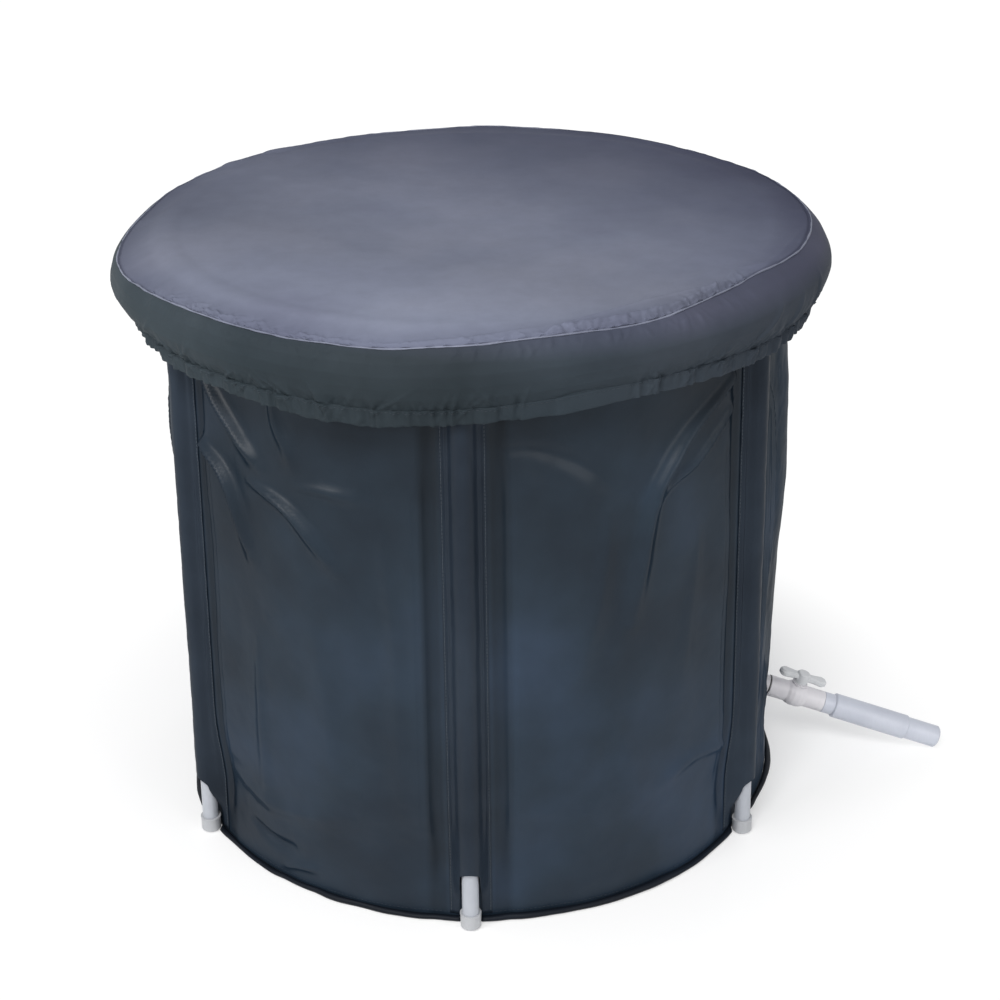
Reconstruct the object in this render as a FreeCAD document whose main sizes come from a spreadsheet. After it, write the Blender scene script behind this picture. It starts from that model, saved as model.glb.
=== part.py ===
import FreeCAD
import Part
import Sketcher

import math
import os

from FreeCAD import Placement
from FreeCAD import Rotation
from FreeCAD import Vector

# A round fabric soaking tub: six pole legs in pockets outside a padded wall, an air ring along
# the rim, a fitted cloth cover with a gathered hem, and a white drain with a ball valve.
# Lengths are millimetres and angles are degrees. The origin is on the ground in the middle of
# the tub, +Z is up, the first pole stands at -Y and the drain points along +X.

FULL_TURN = 360
QUARTER_TURN = 90
BEVEL_ANGLE = 45
CLOCKWISE = -1
COUNTER_CLOCKWISE = 1

# Driving dimensions
DRIVING = {
    # wall and floor, each an outer skin, a foam layer and a watertight liner
    "tub_foot_radius": 376,
    "tub_taper": 12,
    "skin_thickness": 0.9,
    "foam_thickness": 5,
    "foam_panel_spacing": 85,
    "liner_thickness": 0.8,
    "floor_foam_thickness": 4,
    "layer_gap": 0.3,
    "welt_height": 8,
    "welt_depth": 4.4,
    "welt_web": 0.8,
    # air ring along the rim and the cloth cuff that holds it
    "ring_inset": 6,
    "ring_tube_radius": 40,
    "ring_film": 0.6,
    "cuff_thickness": 0.9,
    "ring_sides": 12,
    # cover
    "lid_height": 750,
    "lid_overhang": 44,
    "lid_fabric": 0.9,
    "lid_skirt_height": 90,
    "lid_skirt_belly": 13,
    "piping_radius": 1.3,
    "piping_sides": 8,
    "hem_height": 20,
    "hem_overhang": 38,
    "hem_depth": 4.4,
    "elastic_height": 14,
    "elastic_thickness": 1.2,
    # poles with their caps
    "pole_count": 6,
    "pole_diameter": 20,
    "pole_wall": 2,
    "pole_length": 655,
    "cap_radius": 12.3,
    "cap_rim_radius": 12.7,
    "cap_rim_height": 2.5,
    "cap_height": 20,
    "cap_floor": 3,
    "cap_bevel": 2.5,
    "top_cap_height": 16,
    # pole pockets
    "sleeve_fabric": 0.9,
    "sleeve_half_width": 28.5,
    "sleeve_tent_half_width": 22,
    "notch_height": 79,
    "notch_half_width": 13.6,
    # drain spout through the wall
    "drain_droop": 19.5,
    "bend_radius": 30,
    "neck_run": 1,
    "neck_radius": 13.5,
    "spigot_radius": 10,
    "spigot_length": 17,
    "spout_bore_radius": 7,
    "flange_radius": 31,
    "flange_thickness": 3,
    "gasket_thickness": 2.4,
    "patch_radius": 38,
    "patch_thickness": 0.8,
    "drain_ground_gap": 0.5,
    # ball valve
    "oring_section": 1.8,
    "valve_socket_length": 25.2,
    "valve_socket_radius": 14.1,
    "valve_bulge_length": 27,
    "valve_bulge_height": 3.15,
    "valve_barrel_length": 26,
    "valve_barrel_radius": 14,
    "valve_lip": 0.8,
    "valve_cavity_radius": 11.2,
    "ball_radius": 10.5,
    "ball_steps": 10,
    "ball_bore_radius": 6.5,
    "seat_face_radius": 9.5,
    "seat_depth": 5.4,
    "seat_relief": 0.2,
    "carrier_length": 6,
    "boss_radius": 8,
    "boss_height": 15.5,
    "collar_radius": 10.5,
    "collar_height": 2.4,
    "stem_radius": 3.5,
    "stem_flange_radius": 4.5,
    "stem_flange_height": 1,
    "tang_width": 2.6,
    "tang_depth": 3,
    "stem_seal_section": 0.5,
    # valve handle
    "handle_half_length": 33,
    "handle_lobe_radius": 8.5,
    "handle_waist": 6,
    "handle_waist_reach": 13,
    "handle_thickness": 8.5,
    "handle_bevel": 2.2,
    "hub_radius": 9,
    "hub_height": 15.5,
    "hub_rise": 2.2,
    "hub_bevel": 1.6,
    # drain pipe beyond the valve
    "coupling_length": 15,
    "coupling_radius": 14,
    "coupling_wall": 2.4,
    "pipe_length": 106,
    "pipe_radius": 16.35,
    "pipe_wall": 2.8,
    "pipe_lip": 1.4,
    "nozzle_length": 46,
    "nozzle_radius": 14.75,
    "nozzle_wall": 2.6,
    "nozzle_bevel": 2.2,
    "joint_overlap": 18,
    # air valve of the ring
    "air_flange_radius": 15,
    "air_flange_height": 3.4,
    "air_neck_radius": 8.5,
    "air_neck_depth": 12,
    "air_bore_radius": 5,
    "plug_head_radius": 8,
    "plug_head_height": 2.6,
    "plug_bevel": 1,
    # clearances and allowances
    "fit_gap": 0.1,
    "running_gap": 0.3,
    "overrun": 5,
}

# Shares of a size, chosen by hand. The curves are pairs: how far along, and how far out.
hub_skirt_share = 0.94
welt_bevel_share = 0.3
notch_shoulder_share = 0.85
skirt_curve_shares = [(0, 0), (0.2, 0.5), (0.45, 0.88), (0.7, 1), (0.9, 0.66), (1, 0)]
bulge_curve_shares = [(0, 0), (0.15, 0.62), (0.35, 1), (0.65, 1), (0.85, 0.6), (1, 0)]


def as_size(value):
    """Take a plain number as a size."""
    if isinstance(value, Size):
        return value
    return Size(value, str(value))


class Size:
    """A size that knows its number and the expression that gives it from the sheet."""

    def __init__(self, number, text):
        self.number = number
        self.text = text

    def __add__(self, other):
        other = as_size(other)
        return Size(self.number + other.number, f"({self.text} + {other.text})")

    def __sub__(self, other):
        other = as_size(other)
        return Size(self.number - other.number, f"({self.text} - {other.text})")

    def __mul__(self, other):
        other = as_size(other)
        return Size(self.number * other.number, f"({self.text} * {other.text})")

    def __rmul__(self, other):
        return as_size(other) * self

    def __truediv__(self, other):
        other = as_size(other)
        return Size(self.number / other.number, f"({self.text} / {other.text})")

    def __neg__(self):
        return Size(-self.number, f"(0 - {self.text})")


def unsigned(size):
    return Size(abs(size.number), f"abs({size.text})")


def sine(angle):
    return Size(math.sin(math.radians(angle.number)), f"sin({angle.text})")


def cosine(angle):
    return Size(math.cos(math.radians(angle.number)), f"cos({angle.text})")


def root(square):
    return Size(math.sqrt(square.number), f"sqrt({square.text})")


def angle_of(across, along):
    """The angle, in degrees, whose tangent is across over along."""
    degrees = math.degrees(math.atan2(across.number, along.number))
    return Size(degrees, f"atan2({across.text}; {along.text})")


def angle_of_cosine(ratio):
    return Size(math.degrees(math.acos(ratio.number)), f"acos({ratio.text})")


# The document and its sheet of sizes
doc = FreeCAD.newDocument("SoakingTub")
sheet = doc.addObject("Spreadsheet::Sheet", "Sizes")
for row, (alias, number) in enumerate(DRIVING.items(), start=1):
    sheet.set(f"A{row}", alias.replace("_", " "))
    sheet.set(f"B{row}", str(number))
    sheet.setAlias(f"B{row}", alias)
doc.recompute()


def given(alias):
    """The driving dimension of that name."""
    return Size(DRIVING[alias], f"Sizes.{alias}")


ZERO = Size(0, "0")


# Building blocks


def origin_feature(body, role):
    for feature in body.Origin.OriginFeatures:
        if feature.Role == role:
            return feature
    raise LookupError(role)


def new_body(label):
    body = doc.addObject("PartDesign::Body", label)
    body.Label = label
    return body


def sketch_on(body, name, role, offset=ZERO):
    """An empty sketch on one of the body's own origin planes, raised by the offset."""
    sketch = body.newObject("Sketcher::SketchObject", name)
    sketch.AttachmentSupport = [(origin_feature(body, role), "")]
    sketch.MapMode = "FlatFace"
    if offset.number:
        sketch.setExpression("AttachmentOffset.Base.z", offset.text)
    return sketch


def hold(sketch, kind, geometry, end, size):
    """Hold one end of a line or arc at a distance from the sketch's origin."""
    index = sketch.addConstraint(Sketcher.Constraint(kind, -1, 1, geometry, end, size.number))
    sketch.setExpression(f"Constraints[{index}]", size.text)


def hold_point(sketch, geometry, end, across, along):
    """Hold a point by its two distances from the origin, or on an axis where one is zero."""
    if across.number:
        hold(sketch, "DistanceX", geometry, end, across)
    else:
        sketch.addConstraint(Sketcher.Constraint("PointOnObject", geometry, end, -2))
    if along.number:
        hold(sketch, "DistanceY", geometry, end, along)
    else:
        sketch.addConstraint(Sketcher.Constraint("PointOnObject", geometry, end, -1))


def hold_radius(sketch, geometry, radius):
    index = sketch.addConstraint(Sketcher.Constraint("Radius", geometry, radius.number))
    sketch.setExpression(f"Constraints[{index}]", radius.text)


def arc_between(start, finish, radius, turn):
    """The arc of under half a circle that runs from start to finish, turning the given way."""
    chord = finish - start
    middle = (start + finish) * 0.5
    left = Vector(-chord.y, chord.x, 0).normalize()
    rise = math.sqrt(radius * radius - chord.Length * chord.Length / 4)
    centre = middle + left * (rise * turn)
    circle = Part.Circle(centre, Vector(0, 0, 1), radius)
    first = math.atan2(start.y - centre.y, start.x - centre.x)
    last = math.atan2(finish.y - centre.y, finish.x - centre.x)
    if turn == COUNTER_CLOCKWISE:
        return Part.ArcOfCircle(circle, first, last)
    return Part.ArcOfCircle(circle, last, first)


def draw(sketch, corners, closed=True):
    """Join corners by lines and arcs. A corner is its two places, and for an arc that leaves
    it, the arc's radius and the way that it turns."""
    begin = []
    end = []
    count = len(corners)
    spans = count if closed else count - 1
    for number in range(spans):
        corner = corners[number]
        following = corners[(number + 1) % count]
        start = Vector(corner[0].number, corner[1].number, 0)
        finish = Vector(following[0].number, following[1].number, 0)
        if len(corner) == 2:
            geometry = sketch.addGeometry(Part.LineSegment(start, finish), False)
            begin.append((geometry, 1))
            end.append((geometry, 2))
            continue
        radius, turn = corner[2:]
        geometry = sketch.addGeometry(arc_between(start, finish, radius.number, turn), False)
        ends = (1, 2) if turn == COUNTER_CLOCKWISE else (2, 1)
        begin.append((geometry, ends[0]))
        end.append((geometry, ends[1]))
        hold_radius(sketch, geometry, radius)
    for number in range(spans):
        if number + 1 < spans or closed:
            leaving = begin[(number + 1) % spans]
            sketch.addConstraint(Sketcher.Constraint("Coincident", *end[number], *leaving))
        hold_point(sketch, *begin[number], corners[number][0], corners[number][1])
    if not closed:
        hold_point(sketch, *end[-1], corners[-1][0], corners[-1][1])


def draw_circle(sketch, across, along, radius):
    centre = Vector(across.number, along.number, 0)
    circle = Part.Circle(centre, Vector(0, 0, 1), radius.number)
    geometry = sketch.addGeometry(circle, False)
    hold_point(sketch, geometry, 3, across, along)
    hold_radius(sketch, geometry, radius)


def add(body, kind, name, sketch):
    """A feature of the body made from a sketch, which is then hidden in it."""
    feature = body.newObject(f"PartDesign::{kind}", name)
    feature.Profile = sketch
    return feature


def turned(body, kind, sketch, axis):
    """A full turn of the sketch about its own upright or level axis."""
    feature = add(body, kind, kind, sketch)
    feature.ReferenceAxis = (sketch, [axis])
    feature.Angle = FULL_TURN
    doc.recompute()
    return feature


def raised(body, kind, name, sketch, length, backwards=False, taper=0):
    """A pad or pocket of the sketch, by a length. A taper below zero narrows it as it goes."""
    feature = add(body, kind, name, sketch)
    feature.setExpression("Length", length.text)
    feature.Reversed = backwards
    if taper:
        feature.TaperAngle = taper
    doc.recompute()
    return feature


def turned_body(label, corners, axis="V_Axis"):
    """A body made by turning one closed outline about an axis."""
    body = new_body(label)
    sketch = sketch_on(body, "outline", "XZ_Plane")
    draw(sketch, corners)
    turned(body, "Revolution", sketch, axis)
    return body


def check_cut(body, before, name):
    """A pocket that points the wrong way removes nothing, so its effect is looked at."""
    if body.Shape.Volume >= before:
        raise ValueError(f"{name} cuts nothing in {body.Label}")


def rectangle(inner, outer, low, high):
    return [(inner, low), (outer, low), (outer, high), (inner, high)]


def flat_sided(across, along, radius, sides):
    """The corners of a round section made of flats, each flat at the radius."""
    step = FULL_TURN / sides
    corner_radius = radius / cosine(as_size(step / 2))
    corners = []
    for number in range(sides):
        angle = as_size(step * (number + 0.5))
        corners.append((across + corner_radius * cosine(angle), along + corner_radius * sine(angle)))
    return corners


def mirrored(point):
    return -point[0], point[1]


def curve_points(start, finish, swell, shares):
    """Points from start to finish that swell outwards by the shares."""
    points = []
    for along_share, out_share in shares:
        across = start[0] + (finish[0] - start[0]) * along_share
        along = start[1] + (finish[1] - start[1]) * along_share
        points.append((across + swell * out_share, along))
    return points


# Sizes worked out from the driving ones
foot_radius = given("tub_foot_radius")
taper = given("tub_taper")
head_radius = foot_radius - taper
skin = given("skin_thickness")
foam = given("foam_thickness")
liner = given("liner_thickness")
floor_foam = given("floor_foam_thickness")
layer_gap = given("layer_gap")
fit_gap = given("fit_gap")
running_gap = given("running_gap")
overrun = given("overrun")

ring_radius = head_radius - given("ring_inset")
ring_tube = given("ring_tube_radius")
cuff = given("cuff_thickness")
cuff_inner = ring_tube + layer_gap
cuff_outer = cuff_inner + cuff

lid_top = given("lid_height")
lid_fabric = given("lid_fabric")
ring_height = lid_top - lid_fabric - running_gap - cuff_outer
wall_top = ring_height - cuff_outer - layer_gap
wall_slope = taper / wall_top
pole_lean = angle_of(taper, wall_top)

cap_rim = given("cap_rim_radius")
welt_height = given("welt_height")
welt_stand_off = layer_gap + welt_height * unsigned(wall_slope)
pole_offset = cap_rim + running_gap + given("welt_web") + welt_stand_off


def wall_radius(height, depth):
    """Radius of the wall at a height, some depth in from its outer skin."""
    return foot_radius - wall_slope * height - depth


# Wall: an outer skin and a liner, both cones, with foam panels between them
floor_top = skin + layer_gap + floor_foam + layer_gap + liner
drain_droop = given("drain_droop")
bend_radius = given("bend_radius")
neck_run = given("neck_run")
oring_section = given("oring_section")
valve_face = neck_run + oring_section
bulge_start = valve_face + given("valve_socket_length")
bulge_end = bulge_start + given("valve_bulge_length")
valve_end = bulge_end + given("valve_barrel_length")
coupling_end = valve_end + given("coupling_length")
pipe_end = coupling_end + given("pipe_length")
nozzle_end = pipe_end + given("nozzle_length")
nozzle_radius = given("nozzle_radius")
bend_drop = bend_radius - bend_radius * cosine(drain_droop)
bend_reach = bend_radius * sine(drain_droop)
nozzle_bevel = given("nozzle_bevel")
nozzle_low = nozzle_radius * cosine(drain_droop) + (nozzle_end - nozzle_bevel) * sine(drain_droop)
drain_height = given("drain_ground_gap") + nozzle_low + bend_drop
drain_wall_radius = wall_radius(drain_height, ZERO)
neck_radius = given("neck_radius")


def wall_outline(body, depth, thickness, low):
    """The section of one layer of the wall, its outer face at a depth inside the outer skin."""
    far = depth + thickness
    sketch = sketch_on(body, "outline", "XZ_Plane")
    draw(sketch, [
        (wall_radius(low, far), low),
        (wall_radius(low, depth), low),
        (wall_radius(wall_top, depth), wall_top),
        (wall_radius(wall_top, far), wall_top),
    ])
    return sketch


def open_drain_hole(body):
    """The round hole for the drain spout through the +X side of a layer."""
    before = body.Shape.Volume
    hole = sketch_on(body, "drain_hole", "YZ_Plane")
    draw_circle(hole, ZERO, drain_height, neck_radius + fit_gap)
    raised(body, "Pocket", "drain_pocket", hole, drain_wall_radius + overrun, backwards=True)
    check_cut(body, before, "drain_hole")


def wall_layer(label, depth, thickness, low):
    """A layer of the wall that runs all the way round."""
    body = new_body(label)
    turned(body, "Revolution", wall_outline(body, depth, thickness, low), "V_Axis")
    open_drain_hole(body)
    return body


foam_depth = skin + layer_gap
liner_depth = foam_depth + foam + layer_gap
inner_depth = liner_depth + liner
floor_foam_low = skin + layer_gap
floor_liner_low = floor_foam_low + floor_foam + layer_gap

wall_skin = wall_layer("wall_skin", ZERO, skin, floor_foam_low)
wall_liner = wall_layer("wall_liner", liner_depth, liner, floor_foam_low)

# Foam panels: one between each two poles, with a bare strip between panels
pole_count = DRIVING["pole_count"]
sector = as_size(FULL_TURN / pole_count)
panel_turn = sector - given("foam_panel_spacing") / foot_radius * as_size(math.degrees(1))


def foam_panel(number):
    """A slice of the foam cone, made about +X and then turned to its place round the tub."""
    body = new_body(f"wall_foam_{number + 1}")
    panel = turned(body, "Revolution", wall_outline(body, foam_depth, foam, floor_foam_low), "V_Axis")
    panel.Midplane = True
    panel.setExpression("Angle", panel_turn.text)
    doc.recompute()
    bearing = sector.number * (number + 0.5) - QUARTER_TURN
    if not bearing:
        open_drain_hole(body)
    body.Placement = Placement(Vector(), Rotation(Vector(0, 0, 1), bearing))
    return body


foam_panels = [foam_panel(number) for number in range(pole_count)]


# Floor: three discs, the skin out to the wall's edge and the others inside the liner
def floor_layer(label, radius, low, thickness):
    body = new_body(label)
    sketch = sketch_on(body, "disc", "XY_Plane", low)
    draw_circle(sketch, ZERO, ZERO, radius)
    raised(body, "Pad", "disc_pad", sketch, thickness)
    return body


floor_radius = wall_radius(floor_top, inner_depth) - layer_gap
floor_skin = floor_layer("floor_skin", foot_radius, ZERO, skin)
floor_foam_disc = floor_layer("floor_foam", floor_radius, floor_foam_low, floor_foam)
floor_liner = floor_layer("floor_liner", floor_radius, floor_liner_low, liner)

# Base welt: the bound edge round the foot of the wall, notched where the pole feet stand
welt_inner = foot_radius + welt_stand_off
welt_outer = welt_inner + given("welt_depth")
pole_foot_radius = foot_radius + pole_offset

welt_bevel = given("welt_depth") * welt_bevel_share
base_welt = turned_body("base_welt", [
    (welt_inner, ZERO),
    (welt_outer - welt_bevel, ZERO),
    (welt_outer, welt_bevel),
    (welt_outer, welt_height - welt_bevel),
    (welt_outer - welt_bevel, welt_height),
    (welt_inner, welt_height),
])
volume_before = base_welt.Shape.Volume
notch_sketch = sketch_on(base_welt, "foot_notch", "XY_Plane")
draw_circle(notch_sketch, ZERO, -pole_foot_radius, cap_rim + running_gap)
notch = raised(base_welt, "Pocket", "foot_pocket", notch_sketch, welt_height + overrun, backwards=True)
notch_ring = base_welt.newObject("PartDesign::PolarPattern", "foot_notches")
notch_ring.Originals = [notch]
notch_ring.Axis = (origin_feature(base_welt, "Z_Axis"), [""])
notch_ring.Angle = FULL_TURN
notch_ring.setExpression("Occurrences", given("pole_count").text)
base_welt.Tip = notch_ring
doc.recompute()
check_cut(base_welt, volume_before, "foot_notch")


# Rim: the air ring is a hollow tube of film bent to a circle, inside a cloth cuff
def ring_shell(label, tube_inner, tube_outer, hole_radius):
    """A hollow ring with a hole towards the tub's middle, at +Y, for the air valve."""
    body = new_body(label)
    sketch = sketch_on(body, "tube_section", "XZ_Plane")
    draw(sketch, flat_sided(ring_radius, ring_height, tube_outer, ring_sides))
    draw(sketch, flat_sided(ring_radius, ring_height, tube_inner, ring_sides))
    turned(body, "Revolution", sketch, "V_Axis")
    before = body.Shape.Volume
    hole = sketch_on(body, "air_hole", "XZ_Plane")
    draw_circle(hole, ZERO, ring_height, hole_radius)
    raised(body, "Pocket", "air_pocket", hole, ring_radius)
    check_cut(body, before, "air_hole")
    return body


ring_sides = DRIVING["ring_sides"]
air_neck = given("air_neck_radius")
air_hole = air_neck + fit_gap
rim_cuff = ring_shell("rim_cuff", cuff_inner, cuff_outer, air_hole)
air_ring = ring_shell("air_ring", ring_tube - given("ring_film"), ring_tube, air_hole)

# Air valve on the ring's inner side: a flange that follows the ring, and a neck through it
air_flange_height = given("air_flange_height")
air_face = ring_radius - cuff_outer - air_flange_height
air_pose = Placement(
    Vector(0, air_face.number, ring_height.number),
    Rotation(Vector(1, 0, 0), -QUARTER_TURN),
)


def part_cylinder(name, radius, height):
    cylinder = doc.addObject("Part::Cylinder", name)
    cylinder.setExpression("Radius", radius.text)
    cylinder.setExpression("Height", height.text)
    cylinder.Placement = air_pose
    return cylinder


def part_pair(kind, name, base, tool):
    pair = doc.addObject(kind, name)
    pair.Base = base
    pair.Tool = tool
    return pair


cuff_form = turned_body(
    "cuff_form",
    flat_sided(ring_radius, ring_height, cuff_outer + fit_gap, ring_sides),
)
air_flange_disc = part_cylinder("air_flange_disc", given("air_flange_radius"), air_neck + air_flange_height)
air_flange = part_pair("Part::Cut", "air_flange", air_flange_disc, cuff_form)
air_neck_rod = part_cylinder("air_neck_rod", air_neck, air_flange_height + given("air_neck_depth"))
air_valve_solid = part_pair("Part::Fuse", "air_valve_solid", air_flange, air_neck_rod)
air_bore = given("air_bore_radius")
air_depth = air_flange_height + given("air_neck_depth")
air_bore_rod = part_cylinder("air_bore_rod", air_bore, air_depth + overrun)
air_valve_base = part_pair("Part::Cut", "air_valve_base", air_valve_solid, air_bore_rod)
doc.recompute()

# Air plug: a stopper with a round head that pulls straight out of the air valve
plug_radius = air_bore - running_gap
plug_head = given("plug_head_radius")
plug_bevel = given("plug_bevel")
plug_top = -(running_gap + given("plug_head_height"))
plug_corners = [
    (ZERO, plug_top),
    (plug_head - plug_bevel, plug_top),
    (plug_head, plug_top + plug_bevel),
    (plug_head, -running_gap),
    (plug_radius, -running_gap),
    (plug_radius, air_flange_height + given("air_neck_depth") - plug_bevel),
    (plug_radius - plug_bevel, air_flange_height + given("air_neck_depth")),
    (ZERO, air_flange_height + given("air_neck_depth")),
]
air_valve_plug = turned_body("air_valve_plug", plug_corners)
air_valve_plug.Placement = air_pose


# Cover: a flat panel, piping along its seam, a bellied skirt and a hem that holds an elastic
piping = given("piping_radius")
seam_radius = head_radius + given("lid_overhang")
skirt_bottom = lid_top - given("lid_skirt_height")
hem_top = skirt_bottom + given("hem_height")
hem_inner = head_radius + given("hem_overhang")
hem_outer = hem_inner + given("hem_depth")
panel_radius = seam_radius - piping - layer_gap
piping_height = lid_top - piping
skirt_top = piping_height - piping - layer_gap
skirt_foot = hem_top + layer_gap
belly = given("lid_skirt_belly")

lid_panel = floor_layer("lid_panel", panel_radius, lid_top - lid_fabric, lid_fabric)

piping_section = flat_sided(seam_radius, piping_height, piping, DRIVING["piping_sides"])
lid_piping = turned_body("lid_piping", piping_section)

skirt_outside = curve_points((hem_outer, skirt_foot), (seam_radius, skirt_top), belly, skirt_curve_shares)
skirt_inside = [(across - lid_fabric, along) for across, along in reversed(skirt_outside)]
lid_skirt = turned_body("lid_skirt", skirt_outside + skirt_inside)

elastic = given("elastic_thickness")
elastic_height = given("elastic_height")
hem_middle = (hem_top + skirt_bottom) / 2
channel_inner = hem_inner + lid_fabric
channel_outer = hem_outer - lid_fabric
channel_low = skirt_bottom + lid_fabric
channel_high = hem_top - lid_fabric
lid_hem = new_body("lid_hem")
hem_sketch = sketch_on(lid_hem, "casing", "XZ_Plane")
draw(hem_sketch, rectangle(hem_inner, hem_outer, skirt_bottom, hem_top))
draw(hem_sketch, rectangle(channel_inner, channel_outer, channel_low, channel_high))
turned(lid_hem, "Revolution", hem_sketch, "V_Axis")
elastic_inner = channel_inner + fit_gap
lid_elastic = turned_body("lid_elastic", rectangle(
    elastic_inner,
    elastic_inner + elastic,
    hem_middle - elastic_height / 2,
    hem_middle + elastic_height / 2,
))

# Poles: each stands in its own frame, with its foot at the origin and its axis along +Z.
# In that frame +X runs along the wall and +Y points at the tub's middle.
pole_radius = given("pole_diameter") / 2
pole_bore = pole_radius - given("pole_wall")
cap_radius = given("cap_radius")
cap_height = given("cap_height")
cap_floor = given("cap_floor")
cap_bevel = given("cap_bevel")
cap_shelf = cap_height - given("cap_rim_height")
cap_bore = pole_radius + fit_gap
tube_low = cap_floor + fit_gap
top_end = tube_low + given("pole_length")
top_shoulder = top_end - given("top_cap_height")
foot_rise = cap_radius * sine(pole_lean)


def pole_pose(number):
    """Where a pole's frame stands: round the tub by its number, leaning with the wall."""
    around = sector.number * number
    turn = Rotation(Vector(0, 0, 1), around)
    lean = Rotation(Vector(1, 0, 0), -pole_lean.number)
    foot = turn.multVec(Vector(0, -pole_foot_radius.number, foot_rise.number))
    return Placement(foot, turn.multiply(lean))


def pole_tube(label, pose):
    """A tube with its top closed by a bevelled plug of the tube's own width."""
    body = turned_body(label, [
        (pole_bore, tube_low),
        (pole_radius, tube_low),
        (pole_radius, top_shoulder),
        (cap_radius, top_shoulder),
        (cap_radius, top_end - cap_bevel),
        (cap_radius - cap_bevel, top_end),
        (ZERO, top_end),
        (ZERO, top_end - cap_floor),
        (pole_bore, top_end - cap_floor),
    ])
    body.Placement = pose
    return body


def foot_cap(label, pose):
    """A cup pushed on the pole's lower end, with a rounded sole and a rim round its mouth."""
    body = turned_body(label, [
        (ZERO, ZERO),
        (cap_radius - cap_bevel, ZERO),
        (cap_radius, cap_bevel),
        (cap_radius, cap_shelf),
        (cap_rim, cap_shelf),
        (cap_rim, cap_height),
        (cap_bore, cap_height),
        (cap_bore, cap_floor),
        (ZERO, cap_floor),
    ])
    body.Placement = pose
    return body


# Pole pockets: a strip of cloth sewn to the wall along both edges and pulled over the pole
sleeve_fabric = given("sleeve_fabric")
sleeve_edge = given("sleeve_half_width")
tent_outer = given("sleeve_tent_half_width")
tent_inner = tent_outer - sleeve_fabric
pocket_inner = cap_rim + running_gap
pocket_outer = pocket_inner + sleeve_fabric
wall_middle = (foot_radius + head_radius) / 2
sleeve_under = wall_middle + layer_gap
sleeve_over = sleeve_under + sleeve_fabric
sleeve_low = welt_height + layer_gap
sleeve_roof_low = top_end + running_gap
notch_top = given("notch_height")
notch_half = given("notch_half_width")
notch_shoulder = notch_top - notch_half * notch_shoulder_share


def on_wall(across, bend):
    """Distance towards the tub's middle of a point that lies on the wall's curve."""
    return pole_offset + wall_middle - root(bend * bend - across * across)


def touch_point(across, inward, radius):
    """Where a straight fold from a seam point first touches a circle round the pole."""
    reach = root(across * across + inward * inward)
    bearing = angle_of(inward, across) - angle_of_cosine(radius / reach)
    return radius * cosine(bearing), radius * sine(bearing)


edge_under = (sleeve_edge, on_wall(sleeve_edge, sleeve_under))
edge_over = (sleeve_edge, on_wall(sleeve_edge, sleeve_over))
seam_over = (tent_outer, on_wall(tent_outer, sleeve_over))
seam_under = (tent_inner, on_wall(tent_inner, sleeve_under))
touch_over = touch_point(*seam_over, pocket_outer)
touch_under = touch_point(*seam_under, pocket_inner)

sleeve_corners = [
    edge_under,
    (*edge_over, sleeve_over, CLOCKWISE),
    seam_over,
    (*touch_over, pocket_outer, CLOCKWISE),
    mirrored(touch_over),
    (*mirrored(seam_over), sleeve_over, CLOCKWISE),
    mirrored(edge_over),
    (*mirrored(edge_under), sleeve_under, COUNTER_CLOCKWISE),
    mirrored(seam_under),
    (*mirrored(touch_under), pocket_inner, COUNTER_CLOCKWISE),
    touch_under,
    (*seam_under, sleeve_under, COUNTER_CLOCKWISE),
]
roof_corners = [
    seam_over,
    (*touch_over, pocket_outer, CLOCKWISE),
    mirrored(touch_over),
    mirrored(seam_over),
]
notch_corners = [
    (-notch_half, sleeve_low - overrun),
    (notch_half, sleeve_low - overrun),
    (notch_half, notch_shoulder, notch_half, COUNTER_CLOCKWISE),
    (ZERO, notch_top, notch_half, COUNTER_CLOCKWISE),
    (-notch_half, notch_shoulder),
]


def pole_sleeve(label, pose):
    """The pocket of one pole: open below, roofed above, with an arched window at its foot."""
    body = new_body(label)
    section = sketch_on(body, "cloth_section", "XY_Plane", sleeve_low)
    draw(section, sleeve_corners)
    raised(body, "Pad", "cloth_pad", section, sleeve_roof_low - sleeve_low)
    roof = sketch_on(body, "roof_section", "XY_Plane", sleeve_roof_low)
    draw(roof, roof_corners)
    raised(body, "Pad", "roof_pad", roof, sleeve_fabric)
    before = body.Shape.Volume
    window = sketch_on(body, "window_outline", "XZ_Plane")
    draw(window, notch_corners)
    raised(body, "Pocket", "window_pocket", window, pocket_outer + overrun, backwards=True)
    check_cut(body, before, "window")
    body.Placement = pose
    return body


poles = []
for number in range(pole_count):
    place = pole_pose(number)
    poles.append(pole_tube(f"pole_tube_{number + 1}", place))
    poles.append(foot_cap(f"foot_cap_{number + 1}", place))
    poles.append(pole_sleeve(f"pole_sleeve_{number + 1}", place))


# Drain spout: a flange inside the wall, and a neck that bends down outside it.
# Its frame lies on the wall's outer face with +X outwards.
flange_radius = given("flange_radius")
flange_thickness = given("flange_thickness")
gasket = given("gasket_thickness")
spigot_radius = given("spigot_radius")
spigot_end = valve_face + given("spigot_length")
spout_bore = given("spout_bore_radius")
lean_room = flange_radius * unsigned(wall_slope)
flange_face = -(inner_depth + gasket + lean_room)
flange_back = flange_face - flange_thickness
spout_pose = Placement(Vector(drain_wall_radius.number, 0, drain_height.number), Rotation())


def spout_path(body, name, start, length):
    """A straight run through the wall, the bend, and a straight run along the droop."""
    path = sketch_on(body, name, "XZ_Plane")
    draw(path, [
        (start, ZERO),
        (ZERO, ZERO, bend_radius, CLOCKWISE),
        (bend_reach, -bend_drop),
        (bend_reach + length * cosine(drain_droop), -(bend_drop + length * sine(drain_droop))),
    ], closed=False)
    return path


def along_path(body, kind, name, section, path):
    pipe = add(body, kind, name, section)
    pipe.Spine = (path, ["Edge1", "Edge2", "Edge3"])
    doc.recompute()
    return pipe


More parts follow.
